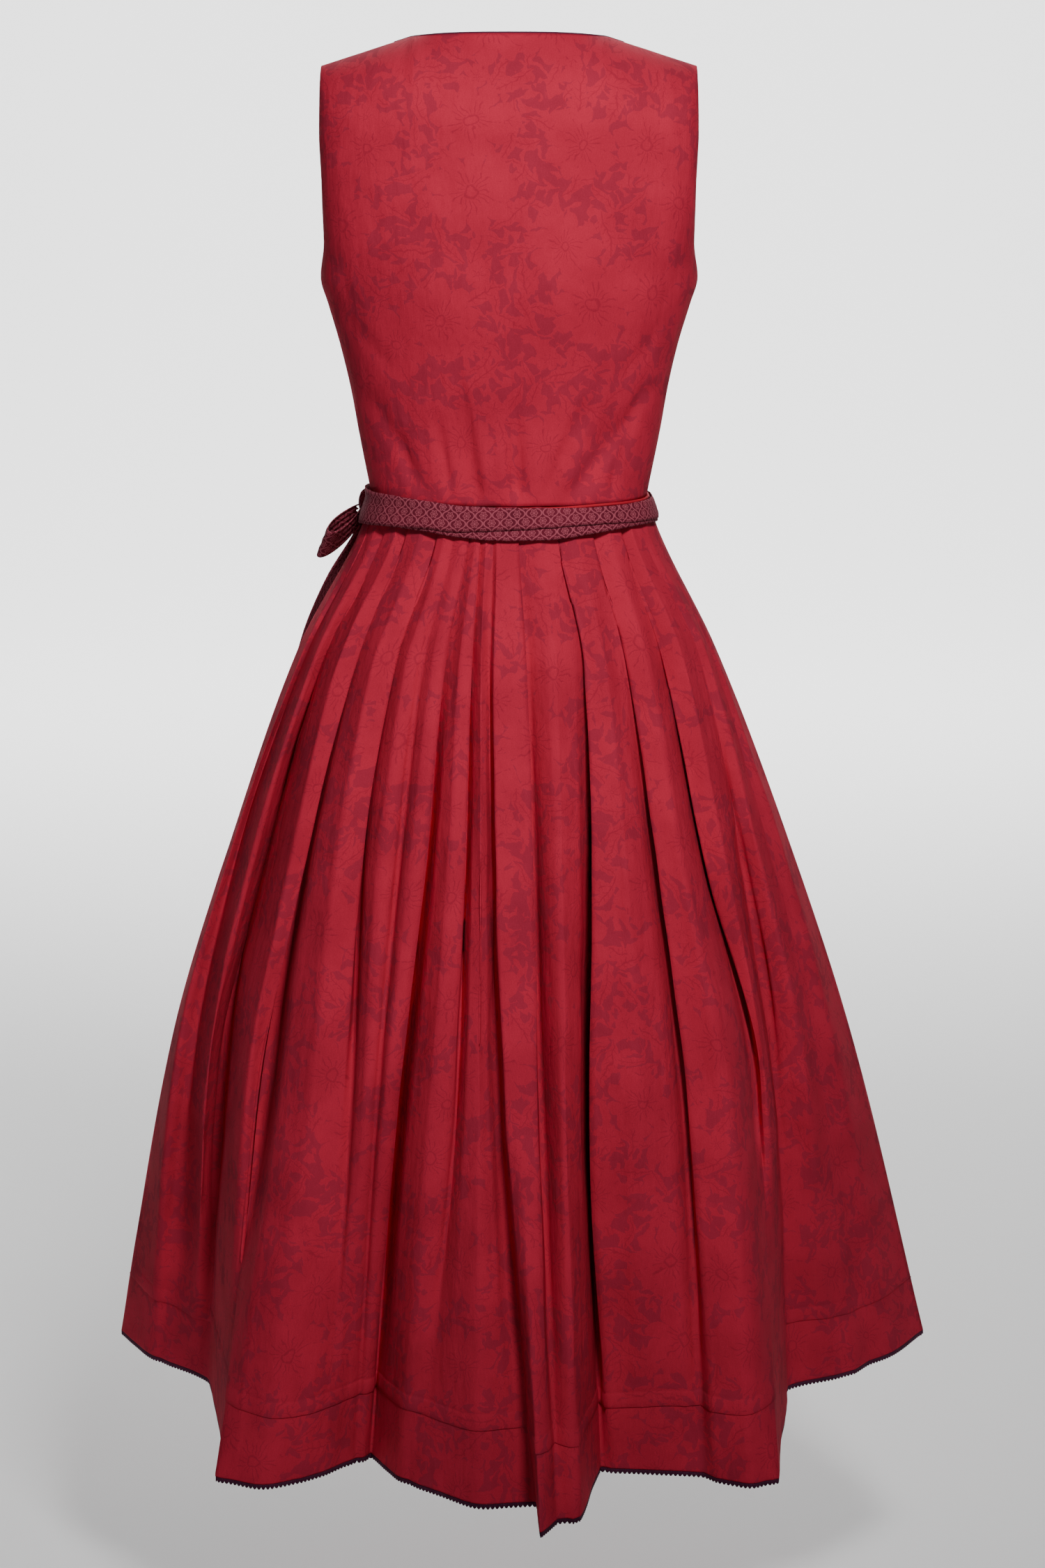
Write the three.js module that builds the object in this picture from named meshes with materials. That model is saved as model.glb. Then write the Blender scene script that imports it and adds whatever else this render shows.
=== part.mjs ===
// A sleeveless red dirndl, hollow and filled out as if it were worn: a fitted bodice, a wide skirt of
// knife pleats that open into deep folds, and a burgundy apron whose ties go round the waist and end in
// a bow at the wearer's left. Millimetres, +Z up. The front faces -Y and the wearer's left is +X.
// The origin is midway between the shoulder seams, where the shoulders carry the dress.

import * as THREE from 'three';
import { mergeVertices } from 'three/addons/utils/BufferGeometryUtils.js';

// Cloth and seams
const CLOTH = 1.4;
const TIE_CLOTH = 1.2;
const SEAM = 0.3;

// Heights
const SHOULDER_Z = 0;
const WAIST_Z = -370;
const UNDERARM_Z = -186;
const SHOULDER_BEND_Z = -72;
const HEM_Z = -1146;

// Colours, as roughness and metalness of plain woven cotton
const MATERIALS = {
  dress: { color: 0x9e2431, roughness: 0.78, metalness: 0 },
  apron: { color: 0x5c1c2b, roughness: 0.74, metalness: 0 },
  trim: { color: 0x4a1a33, roughness: 0.7, metalness: 0 },
  button: { color: 0x8f8578, roughness: 0.38, metalness: 0.85 },
};

const dirndl = new THREE.Group();

function addPiece(name, geometry, materialName) {
  const mesh = new THREE.Mesh(geometry, new THREE.MeshStandardMaterial(MATERIALS[materialName]));
  mesh.name = name;
  dirndl.add(mesh);
  return mesh;
}

// Small mathematics

const mix = (a, b, t) => a + (b - a) * t;
const clamp = (value, low, high) => Math.min(high, Math.max(low, value));
const radians = THREE.MathUtils.degToRad;
const smoothStep = (edge0, edge1, value) => THREE.MathUtils.smoothstep(value, edge0, edge1);
const signedPower = (value, power) => Math.sign(value) * Math.abs(value) ** power;

// A curve through knots that never overshoots them (monotone cubic). Knots run upwards.
function through(knots, values, at) {
  const last = knots.length - 1;
  if (at <= knots[0]) return values[0];
  if (at >= knots[last]) return values[last];
  const slopes = knots.slice(1).map((k, i) => (values[i + 1] - values[i]) / (k - knots[i]));
  const tangent = (i) => {
    if (i === 0) return slopes[0];
    if (i === last) return slopes[last - 1];
    const [before, after] = [slopes[i - 1], slopes[i]];
    return before * after <= 0 ? 0 : (2 * before * after) / (before + after);
  };
  const i = knots.findIndex((k, n) => n < last && at < knots[n + 1]);
  const width = knots[i + 1] - knots[i];
  const t = (at - knots[i]) / width;
  return (
    (2 * t ** 3 - 3 * t ** 2 + 1) * values[i] +
    (t ** 3 - 2 * t ** 2 + t) * width * tangent(i) +
    (-2 * t ** 3 + 3 * t ** 2) * values[i + 1] +
    (t ** 3 - t ** 2) * width * tangent(i + 1)
  );
}

// Closed solids from grids of points

// A wall between an outer and an inner grid of rows of points. A closed wall goes round and meets itself.
// Seen from outside, rows run upwards and the points of a row run to the left.
function wall(outer, inner, closed = false) {
  const rows = outer.length;
  const columns = outer[0].length;
  const positions = [...outer.flat(2), ...inner.flat(2)];
  const index = [];
  const outside = (row, column) => row * columns + (column % columns);
  const inside = (row, column) => rows * columns + outside(row, column);
  const quad = (a, b, c, d) => index.push(a, b, c, a, c, d);
  const spans = closed ? columns : columns - 1;
  for (let row = 0; row < rows - 1; row += 1) {
    for (let column = 0; column < spans; column += 1) {
      const next = column + 1;
      quad(outside(row, column), outside(row + 1, column), outside(row + 1, next), outside(row, next));
      quad(inside(row, column), inside(row, next), inside(row + 1, next), inside(row + 1, column));
    }
  }
  for (let column = 0; column < spans; column += 1) {
    const next = column + 1;
    const top = rows - 1;
    quad(outside(0, next), inside(0, next), inside(0, column), outside(0, column));
    quad(outside(top, column), inside(top, column), inside(top, next), outside(top, next));
  }
  if (!closed) {
    const end = columns - 1;
    for (let row = 0; row < rows - 1; row += 1) {
      quad(inside(row, 0), inside(row + 1, 0), outside(row + 1, 0), outside(row, 0));
      quad(outside(row, end), outside(row + 1, end), inside(row + 1, end), inside(row, end));
    }
  }
  const geometry = new THREE.BufferGeometry();
  geometry.setAttribute('position', new THREE.Float32BufferAttribute(positions, 3));
  geometry.setIndex(index);
  return facingOut(geometry);
}

// Turns a closed geometry's faces over if they point in.
function facingOut(geometry) {
  const position = geometry.getAttribute('position');
  const corner = (i) => new THREE.Vector3().fromBufferAttribute(position, geometry.index.getX(i));
  let volume = 0;
  for (let i = 0; i < geometry.index.count; i += 3) {
    volume += corner(i).dot(corner(i + 1).cross(corner(i + 2))) / 6;
  }
  if (volume < 0) {
    const flipped = Array.from(geometry.index.array);
    for (let i = 0; i < flipped.length; i += 3) {
      [flipped[i + 1], flipped[i + 2]] = [flipped[i + 2], flipped[i + 1]];
    }
    geometry.setIndex(flipped);
  }
  geometry.computeVertexNormals();
  return geometry;
}

// Moves the points of a level line sideways by a distance, to the right of its direction, with mitred corners.
function offsetLine(points, distance) {
  const direction = (from, to) => {
    const length = Math.hypot(to[0] - from[0], to[1] - from[1]) || 1;
    return [(to[0] - from[0]) / length, (to[1] - from[1]) / length];
  };
  return points.map((point, i) => {
    const before = direction(points[Math.max(i - 1, 0)], points[Math.max(i, 1)]);
    const after = direction(points[Math.min(i, points.length - 2)], points[Math.min(i + 1, points.length - 1)]);
    const normal = [before[1] + after[1], -(before[0] + after[0])];
    const size = Math.hypot(...normal) || 1;
    const halfCosine = clamp(size / 2, 0.4, 1);
    const scale = distance / (size * halfCosine);
    return [point[0] + normal[0] * scale, point[1] + normal[1] * scale, point[2]];
  });
}

// The worn body of the bodice, as half widths and depths at heights

const BODY_COLUMNS = ['z', 'halfWidth', 'back', 'front', 'backEdge', 'frontEdge'];
const BODY = [
  [WAIST_Z, 116.5, 86, 95, 0, 0],
  [-313, 127.5, 87, 106, 0, 0],
  [-277, 134, 91, 115, 0, 0],
  [-242, 142, 97, 125.5, 0, 0],
  [-208, 152, 102, 134, 0, 0],
  [UNDERARM_Z, 158, 104, 136, 1, -1],
  [-155, 154, 105, 130, 24, -38],
  [-115, 154.5, 104, 112, 38, -60],
  [SHOULDER_BEND_Z, 156.5, 100, 92, 36, -54],
].map((row) => Object.fromEntries(BODY_COLUMNS.map((name, i) => [name, row[i]])));

const bodyAt = (column, z) => through(BODY.map((row) => row.z), BODY.map((row) => row[column]), z);

// The top edge runs level round the nape, then falls along the shoulder to its tip.
const NECK_HALF_WIDTH = 82;
const NAPE = { y: 50, z: 14.5 };
const SHOULDER_NECK_Z = 11.5;
const SHOULDER_TIP = { x: 156, z: -12 };
const SHOULDER_SEAM_Y = -4;
// Sections are rounder than an ellipse at the waist, and plain ellipses lower down.
const BODY_FULLNESS = 2.35;
const FRONT_TO_SHOULDER = 0.84;

function topEdge(x) {
  const across = Math.abs(x);
  if (across < NECK_HALF_WIDTH) {
    const t = across / NECK_HALF_WIDTH;
    return {
      y: mix(SHOULDER_SEAM_Y, NAPE.y, Math.sqrt(1 - t ** 2.4)),
      z: mix(NAPE.z, SHOULDER_NECK_Z, t ** 3),
      lean: mix(1, 0, t ** 3),
    };
  }
  const t = (across - NECK_HALF_WIDTH) / (SHOULDER_TIP.x - NECK_HALF_WIDTH);
  return { y: SHOULDER_SEAM_Y, z: mix(SHOULDER_NECK_Z, SHOULDER_TIP.z, t), lean: 0 };
}

const bezier = (a, b, c, d, t) =>
  a * (1 - t) ** 3 + 3 * b * t * (1 - t) ** 2 + 3 * c * t ** 2 * (1 - t) + d * t ** 3;

// A point of the worn bodice. across runs from -1 to 1 between the sides, up from 0 at the waist to 1 at
// the shoulder seam or the nape, and facing is 1 for the back and -1 for the front.
function bodicePoint(across, up, facing) {
  const angle = (across * Math.PI) / 2;
  const side = signedPower(Math.sin(angle), 2 / BODY_FULLNESS);
  const middle = Math.abs(Math.cos(angle)) ** (2 / BODY_FULLNESS);
  const lowerShare = clamp(up / FRONT_TO_SHOULDER, 0, 1);
  const z = mix(WAIST_Z, SHOULDER_BEND_Z, lowerShare);
  const x = bodyAt('halfWidth', z) * side;
  const depth = facing > 0 ? bodyAt('back', z) : -bodyAt('front', z);
  const edge = facing > 0 ? bodyAt('backEdge', z) : bodyAt('frontEdge', z);
  const y = mix(edge, depth, middle) + bodiceShaping(x, z, facing);
  if (up <= FRONT_TO_SHOULDER) return [x, y, z];
  const t = (up - FRONT_TO_SHOULDER) / (1 - FRONT_TO_SHOULDER);
  const end = topEdge(x);
  const endY = facing > 0 ? end.y : SHOULDER_SEAM_Y;
  const lean = facing > 0 ? end.lean : 0;
  const rise = end.z - z;
  const reach = y - endY;
  return [
    mix(x, x * (SHOULDER_TIP.x / bodyAt('halfWidth', SHOULDER_BEND_Z)), t),
    bezier(y, y + reach * 0.04, endY + reach * mix(0.55, 0.35, lean), endY, t),
    bezier(z, z + rise * 0.5, z + rise * mix(1, 0.72, lean), end.z, t),
  ];
}

// Bust fullness in front, and the two soft pleats that rise from the back waist.
const BUST = { x: 72, z: -196, spreadX: 52, spreadZ: 62, fullness: 16 };
const BACK_DRAG_COLUMNS = ['x', 'lean', 'depth', 'halfWidth', 'height'];
const BACK_DRAGS = [
  [26, 0.2, 5, 8, 120],
  [-8, 0.02, 6, 7, 105],
  [-52, -0.45, 4, 10, 110],
].map((row) => Object.fromEntries(BACK_DRAG_COLUMNS.map((name, i) => [name, row[i]])));

function bodiceShaping(x, z, facing) {
  if (facing < 0) {
    const nearX = Math.exp(-(((Math.abs(x) - BUST.x) / BUST.spreadX) ** 2));
    const nearZ = Math.exp(-(((z - BUST.z) / BUST.spreadZ) ** 2));
    return -BUST.fullness * nearX * nearZ;
  }
  const height = z - WAIST_Z;
  return BACK_DRAGS.reduce((sum, drag) => {
    const away = (x - drag.x - drag.lean * height) / drag.halfWidth;
    const share = height / drag.height;
    return sum - drag.depth * Math.exp(-(away ** 2)) * smoothStep(0, 0.16, share) * (1 - smoothStep(0.2, 1, share));
  }, 0);
}

// The outward normal of a surface given as a function of two shares, by small steps.
function normalAt(surface, a, b, outwardHint) {
  const step = 0.004;
  const at = (u, v) => new THREE.Vector3(...surface(u, v));
  const alongA = at(a + step, b).sub(at(a - step, b));
  const alongB = at(a, Math.min(b + step, 1)).sub(at(a, Math.max(b - step, 0)));
  const normal = alongA.cross(alongB).normalize();
  return normal.dot(new THREE.Vector3(...outwardHint)) < 0 ? normal.negate() : normal;
}

const movedAlong = (point, normal, distance) => [
  point[0] + normal.x * distance,
  point[1] + normal.y * distance,
  point[2] + normal.z * distance,
];

// A bodice panel from a grid of [across, up] places, with an optional raise of the cloth off the body.
function bodicePanel(places, facing, raise = () => 0) {
  const surface = (across, up) => bodicePoint(across, up, facing);
  const layer = (depth) =>
    places.map((row) =>
      row.map(([across, up]) => {
        const point = surface(across, up);
        const hint = [point[0] * 0.4, facing * 80, up > 0.9 ? 120 : 0];
        return movedAlong(point, normalAt(surface, across, up, hint), raise(point) - depth);
      }),
    );
  return wall(layer(0), layer(CLOTH));
}

const SEAM_SHARE = 0.0012;
const BACK_UPS = [0.0015, 0.07, 0.15, 0.25, 0.36, 0.48, 0.6, 0.71, 0.79, 0.85, 0.9, 0.945, 0.9985];
const BACK_SPANS = 32;
const BACK_ACROSS = Array.from({ length: BACK_SPANS + 1 }, (_, i) => (1 - SEAM_SHARE) * (1 - (2 * i) / BACK_SPANS));

const bodiceBack = () => bodicePanel(BACK_UPS.map((up) => BACK_ACROSS.map((across) => [across, up])), 1);

// The front neckline, from the centre front up to the shoulder, as shares across and up.
const NECKLINE = { knots: [0, 0.56, 0.62, 0.7, 0.8, 0.9, 1] };
NECKLINE.across = [0, 0, 0.26, 0.395, 0.435, 0.42, 0.392];
NECKLINE.up = [0.0015, 0.6, 0.612, 0.67, 0.79, 0.9, 0.9985];
const FRONT_ROWS = [
  0, 0.014, 0.07, 0.13, 0.19, 0.26, 0.33, 0.4, 0.46, 0.51, 0.56, 0.59, 0.62, 0.66, 0.7, 0.76, 0.83, 0.9, 0.95, 1,
];
const FRONT_SPANS = 11;
const SIDE_UPS = { knots: [0, 0.56, 1], up: [0.0015, 0.52, 0.9985] };
const BAND_SHARE = 0.052;

// The place on a front of a row and a share across, which reads the same on the left and the right.
function frontPlace(row, across) {
  const inner = through(NECKLINE.knots, NECKLINE.across, row);
  const innerUp = through(NECKLINE.knots, NECKLINE.up, row);
  const outerUp = through(SIDE_UPS.knots, SIDE_UPS.up, row);
  const t = clamp((Math.abs(across) - inner) / (1 - inner), 0, 1);
  return [across, mix(innerUp, outerUp, smoothStep(0.02, 0.9, t))];
}

function bodiceFront(side) {
  const places = FRONT_ROWS.map((row) => {
    const inner = through(NECKLINE.knots, NECKLINE.across, row);
    const first = inner + BAND_SHARE;
    const spread = (i) => mix(first, 1 - SEAM_SHARE, (i - 1) / (FRONT_SPANS - 1));
    const across = (i) => (i === 0 ? inner + SEAM_SHARE : spread(i));
    const spots = Array.from({ length: FRONT_SPANS + 1 }, (_, i) => frontPlace(row, side * across(i)));
    return side > 0 ? spots : spots.reverse();
  });
  return bodicePanel(places, -1);
}

// The button band is sewn down over the two front edges, and stops above the waist piping.
function buttonBand() {
  const rows = FRONT_ROWS.filter((row) => row > 0 && row <= 0.56);
  const columns = [-BAND_SHARE, -SEAM_SHARE, SEAM_SHARE, BAND_SHARE];
  return bodicePanel(rows.map((row) => columns.map((across) => frontPlace(row, across))), -1, () => CLOTH + SEAM);
}

addPiece('bodice_back', bodiceBack(), 'dress');
addPiece('bodice_front_left', bodiceFront(1), 'dress');
addPiece('bodice_front_right', bodiceFront(-1), 'dress');
addPiece('button_band', buttonBand(), 'dress');

// Skirt: level sections through named fold lines

const LEVEL_Z = { waist: WAIST_Z, tie: -400, hip: -500, thigh: -660, knee: -850, hem: HEM_Z };
const LEVELS = Object.keys(LEVEL_Z);
const HALF_WIDTH = { waist: 116.5, tie: 127, hip: 178, thigh: 238, knee: 299, hem: 366 };
const CENTRE_X = { waist: 0, tie: 0, hip: 2, thigh: 0, knee: -2, hem: -11 };
const BACK_DEPTH = { waist: 86, tie: 91, hip: 133, thigh: 188, knee: 238, hem: 300 };
const FRONT_DEPTH = { waist: 95, tie: 101, hip: 143, thigh: 200, knee: 260, hem: 335 };
const SIDE_Y = { waist: 0, tie: 0, hip: -8, thigh: -18, knee: -36, hem: -98 };
const FULLNESS = { waist: BODY_FULLNESS, tie: 2.3, hip: 2.1, thigh: 2, knee: 2, hem: 2 };
const PLEAT_DEPTH = { waist: 2.4, tie: 3.2, hip: 8 };
const LIP_WIDTH = { waist: 1.3, tie: 1.7, hip: 3.5, thigh: 6.5, knee: 9, hem: 10 };
// How high a fold's two lips stand between its valley (0) and the neighbouring crest (1).
const UPPER_LIP = { waist: 1, tie: 1, hip: 1, thigh: 0.8, knee: 0.4, hem: 0.1 };
const UNDER_LIP = { waist: 0.15, tie: 0.15, hip: 0.2, thigh: 0.2, knee: 0.15, hem: 0.1 };

// The visible half, from the wearer's left side to the right. x is given at five heights, y at the lower
// three, where the pleats have opened. lap is 1 where the upper layer lies on the left of the valley.
const FOLD_COLUMNS = ['name', 'line', 'lap', 'waist', 'hip', 'thigh', 'knee', 'hem', 'thighY', 'kneeY', 'hemY'];
const BACK_FOLDS = [
  ['wing_left', 'crest', 0, 115, 175, 230, 280, 324, 34, 26, -36],
  ['pleat_1', 'valley', 1, 110.5, 171, 217, 256, 296, 42, 58, -2],
  ['pleat_1', 'crest', 0, 105, 163, 206, 246, 276, 74, 86, 12],
  ['pleat_2', 'valley', 1, 97, 155, 194, 231, 257, 72, 70, 48],
  ['pleat_2', 'crest', 0, 88.5, 143, 181, 216, 241, 108, 136, 165],
  ['pleat_3', 'valley', 1, 80, 130, 167, 200, 240, 106, 160, 277],
  ['pleat_3', 'crest', 0, 69, 113, 143, 166, 200, 148, 202, 282],
  ['pleat_4', 'valley', 1, 56, 97, 119, 127, 152, 144, 200, 254],
  ['pleat_4', 'crest', 0, 50, 85, 105, 115, 135, 164, 217, 234],
  ['soft_left', 'valley', 1, 43, 72, 90, 102, 125, 160, 214, 224],
  ['soft_left', 'crest', 0, 37, 63, 79, 94, 119, 176, 222, 222],
  ['pleat_5', 'valley', 1, 31, 54, 68, 86, 113, 156, 196, 222],
  ['pleat_5', 'crest', 0, 26, 41, 50, 64, 92, 180, 230, 262],
  ['soft_centre', 'valley', 1, 21.5, 31, 36, 45, 74, 176, 224, 284],
  ['soft_centre', 'crest', 0, 17.5, 23, 23, 24, 26, 185, 240, 324],
  ['pleat_6', 'valley', -1, 12, 16, 11, 2, -30, 166, 208, 300],
  ['centre_pleat', 'crest', 0, 5, 4, -3, -10, -25, 191, 254, 384],
  ['pleat_7', 'valley', 1, -7, -14, -19, -25, -39, 176, 236, 371],
  ['pleat_7', 'crest', 0, -23, -38, -43, -46, -57, 190, 247, 350],
  ['pleat_8', 'valley', -1, -38, -63, -69, -68, -76, 156, 194, 252],
  ['pleat_8', 'crest', 0, -51, -80, -96, -106, -116, 180, 230, 249],
  ['pleat_9', 'valley', -1, -65, -99, -122, -147, -160, 142, 200, 262],
  ['pleat_9', 'crest', 0, -78, -115, -143, -180, -196, 154, 204, 280],
  ['pleat_10', 'valley', -1, -87.5, -131, -164, -208, -221, 104, 150, 278],
  ['pleat_10', 'crest', 0, -96, -146, -180, -213, -230, 110, 118, 165],
  ['pleat_11', 'valley', -1, -103, -160, -195, -226, -244, 76, 74, 52],
  ['pleat_11', 'crest', 0, -108.5, -167, -209, -252, -284, 74, 70, 24],
  ['wing_right', 'valley', -1, -112.5, -171, -219, -266, -306, 50, 46, 8],
  ['wing_right', 'crest', 0, -115, -174, -231, -284, -344, 30, 20, -40],
].map((row) => Object.fromEntries(FOLD_COLUMNS.map((name, i) => [name, row[i]])));

// The plain outline of a section, as y at a given x, on the back or the front.
function outlineY(level, x, facing) {
  const share = clamp((x - CENTRE_X[level]) / HALF_WIDTH[level], -1, 1);
  const depth = facing > 0 ? BACK_DEPTH[level] : -FRONT_DEPTH[level];
  const power = FULLNESS[level];
  return SIDE_Y[level] + (depth - SIDE_Y[level]) * (1 - Math.abs(share) ** power) ** (1 / power);
}

const sideLine = (sign) => (level) => [CENTRE_X[level] + sign * HALF_WIDTH[level], SIDE_Y[level]];

// Each fold line as a function from a level to a point of the section.
function backLine(row) {
  return (level) => {
    const x = level === 'tie' ? row.waist * (HALF_WIDTH.tie / HALF_WIDTH.waist) : row[level];
    if (`${level}Y` in row) return [x, row[`${level}Y`]];
    const sunk = row.line === 'valley' ? 1 : 0.35;
    return [x, outlineY(level, x, 1) - sunk * PLEAT_DEPTH[level]];
  };
}

// The front has the same pleats, worked out from their count. They stay shallow under the apron.
const FRONT_PLEATS = 12;
const FRONT_FOLD_DEPTH = { waist: 2.4, tie: 3.2, hip: 7, thigh: 13, knee: 18, hem: 24 };

function frontLine(turn, isValley) {
  return (level) => {
    const angle = Math.PI * turn;
    const x = CENTRE_X[level] - HALF_WIDTH[level] * Math.cos(angle);
    const underApron = mix(1, 0.55, Math.sin(angle));
    const sunk = (isValley ? 1 : 0) * FRONT_FOLD_DEPTH[level] * underApron;
    const share = 1 - sunk / FRONT_DEPTH[level];
    return [CENTRE_X[level] + (x - CENTRE_X[level]) * share, SIDE_Y[level] + (outlineY(level, x, -1) - SIDE_Y[level]) * share];
  };
}

// Adds the two lips of each valley, between it and the crests beside it.
function withLips(lines) {
  return lines.flatMap((line, i) => {
    if (!line.lap) return [line.place];
    const lip = (neighbour, height) => (level) => {
      const valley = line.place(level);
      const crest = neighbour.place(level);
      const gap = Math.hypot(crest[0] - valley[0], crest[1] - valley[1]);
      const t = clamp(LIP_WIDTH[level] / gap, 0.08, 0.45);
      const pull = height[level] * 0.9;
      return [mix(valley[0], crest[0], t), mix(valley[1], crest[1], clamp(Math.max(t, pull), 0, 1))];
    };
    const [left, right] = line.lap > 0 ? [UPPER_LIP, UNDER_LIP] : [UNDER_LIP, UPPER_LIP];
    return [lip(lines[i - 1], left), line.place, lip(lines[i + 1], right)];
  });
}

const BACK_LINES = withLips([
  { place: sideLine(1), lap: 0 },
  ...BACK_FOLDS.map((row) => ({ place: backLine(row), lap: row.lap })),
  { place: sideLine(-1), lap: 0 },
]);

const FRONT_LINES = withLips([
  { place: sideLine(-1), lap: 0 },
  ...Array.from({ length: 2 * FRONT_PLEATS - 1 }, (_, i) => {
    const isValley = i % 2 === 0;
    return { place: frontLine((i + 1) / (2 * FRONT_PLEATS), isValley), lap: isValley ? (i < FRONT_PLEATS ? 1 : -1) : 0 };
  }),
  { place: sideLine(1), lap: 0 },
]);

// One level row of a skirt panel.
function skirtRow(lines, z) {
  const knots = LEVELS.map((level) => LEVEL_Z[level]).reverse();
  return lines.map((line) => {
    const places = LEVELS.map((level) => line(level)).reverse();
    return [through(knots, places.map((p) => p[0]), z), through(knots, places.map((p) => p[1]), z), z];
  });
}

// The growth tuck is a fold sewn round the skirt above its hem, lying on the cloth below it.
const TUCK = { top: HEM_Z + 70, edge: HEM_Z + 54, lift: 1.8, step: 0.6 };
const BACK_SKIRT_ROWS = [WAIST_Z - SEAM, -384, -400, -425, -458, -500, -560, -640, -740, -850, -965];
const FRONT_SKIRT_ROWS = [WAIST_Z - SEAM, -400, -440, -500, -580, -700, -850, -965];
const HEM_ROWS = [
  { z: TUCK.top, lift: 0 },
  { z: TUCK.edge, lift: TUCK.lift },
  { z: TUCK.edge - TUCK.step, lift: 0 },
  { z: HEM_Z, lift: 0 },
];

// A layer of a skirt panel, a distance out from its line. The end columns move along the side seam, and
// the two panels stay a seam apart.
function skirtLayer(row, distance, facing) {
  const end = row.length - 1;
  return offsetLine(row, distance).map((point, i) => {
    if (i !== 0 && i !== end) return point;
    const [x, y, z] = row[i];
    return [x + Math.sign(x) * distance, y + (facing * SEAM) / 2, z];
  });
}

function skirtPanel(lines, upperRows, facing) {
  const rows = [...upperRows.map((z) => ({ z, lift: 0 })), ...HEM_ROWS].reverse();
  const sections = rows.map(({ z, lift }) => ({ lift, points: skirtRow(lines, z) }));
  const outer = sections.map(({ points, lift }) => skirtLayer(points, lift, facing));
  const inner = sections.map(({ points }) => skirtLayer(points, -CLOTH, facing));
  return wall(outer, inner);
}

addPiece('skirt_back', skirtPanel(BACK_LINES, BACK_SKIRT_ROWS, 1), 'dress');
addPiece('skirt_front', skirtPanel(FRONT_LINES, FRONT_SKIRT_ROWS, -1), 'dress');

// The picot edging hangs from the hem as a narrow strip.
const EDGING_DROP = 4.5;

function hemEdging(lines, facing) {
  const hem = skirtRow(lines, HEM_Z);
  const lowered = (points, drop) => points.map(([x, y, z]) => [x, y, z - drop]);
  const layer = (inwards) =>
    [SEAM + EDGING_DROP, SEAM].map((drop) => lowered(skirtLayer(hem, -inwards, facing), drop));
  return wall(layer(0.1), layer(CLOTH - 0.1));
}

addPiece('hem_edging_back', hemEdging(BACK_LINES, 1), 'trim');
addPiece('hem_edging_front', hemEdging(FRONT_LINES, -1), 'trim');

// What goes round the waist, and what lies on the skirt: places by angle, height and distance out

// The angle is 0 at the wearer's left, 90 at the back, 180 at the right and 270 at the front.
function outlinePlace(angle, z) {
  const knots = LEVELS.map((level) => LEVEL_Z[level]).reverse();
  const between = (table) => through(knots, LEVELS.map((level) => table[level]).reverse(), z);
  const above = z > WAIST_Z;
  const power = 2 / (above ? BODY_FULLNESS : between(FULLNESS));
  const sideY = above ? 0 : between(SIDE_Y);
  const depths = Math.sin(radians(angle)) > 0 ? ['back', BACK_DEPTH] : ['front', FRONT_DEPTH];
  const sign = depths[0] === 'back' ? 1 : -1;
  const depth = above ? sign * bodyAt(depths[0], z) : sign * between(depths[1]) - sideY;
  const halfWidth = above ? bodyAt('halfWidth', z) : between(HALF_WIDTH);
  const centreX = above ? 0 : between(CENTRE_X);
  return [
    centreX + halfWidth * signedPower(Math.cos(radians(angle)), power),
    sideY + depth * Math.abs(Math.sin(radians(angle))) ** power,
  ];
}

// A point at a distance out from the plain outline.
function waistPoint(angle, z, out) {
  const [x, y] = outlinePlace(angle, z);
  const [nextX, nextY] = outlinePlace(angle + 0.8, z);
  const [lastX, lastY] = outlinePlace(angle - 0.8, z);
  const length = Math.hypot(nextX - lastX, nextY - lastY);
  return [x + (out * (nextY - lastY)) / length, y - (out * (nextX - lastX)) / length, z];
}

const spread = (from, to, spans) => Array.from({ length: spans + 1 }, (_, i) => mix(from, to, i / spans));

// Layers that lie on each other round the waist, as distances out of their inner faces.
const OVER_PIPING = 2.3;
const OVER_BAND = OVER_PIPING + CLOTH + SEAM;
const OVER_TIES = OVER_BAND + TIE_CLOTH + SEAM;

// A strip round the waist. edges gives its bottom and top heights at an angle.
function waistStrip(angles, edges, out, thickness, rows = 3, closed = false) {
  const layer = (distance) =>
    spread(0, 1, rows - 1).map((share) =>
      angles.map((angle) => {
        const { bottom, top } = edges(angle);
        return waistPoint(angle, mix(bottom, top, share), distance);
      }),
    );
  return wall(layer(out + thickness), layer(out), closed);
}

const PIPING = { height: 3, thickness: 1.6 };
const ringAngles = (count) => Array.from({ length: count }, (_, i) => (360 * i) / count);
const pipingEdges = () => ({ bottom: WAIST_Z - PIPING.height / 2, top: WAIST_Z + PIPING.height / 2 });
addPiece('waist_piping', waistStrip(ringAngles(72), pipingEdges, SEAM, PIPING.thickness, 2, true), 'dress');

// The apron: a gathered panel on a waistband
const BAND_EDGES = { bottom: -398, top: -371 };
const BAND_ENDS = { right: 198, left: 342 };
const GAP_ANGLE = 0.16;
const APRON_ANGLES = { right: 205, left: 335 };
const APRON_HEM_Z = -1098;
const APRON_ROWS = [APRON_HEM_Z, -960, -820, -680, -560, -470, BAND_EDGES.bottom - SEAM];
const APRON_GATHERS = 24;
const SPANS_PER_GATHER = 3;

// How far the apron stands off the skirt. The gathers run together downwards into fewer, deeper folds.
function apronOut(share, z) {
  const open = 1 - smoothStep(-560, BAND_EDGES.bottom, z);
  const low = 1 - smoothStep(APRON_HEM_Z, -520, z);
  const fine = 0.5 - 0.5 * Math.cos(2 * Math.PI * APRON_GATHERS * share);
  const broad = 0.5 - 0.5 * Math.cos(2 * Math.PI * (APRON_GATHERS / 3) * share + 0.8 * Math.sin(9 * share));
  return OVER_PIPING + 1.4 * low + fine * (2.2 + 1.6 * open - 0.6 * low) + broad * (1.5 * open + 7 * low);
}

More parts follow.
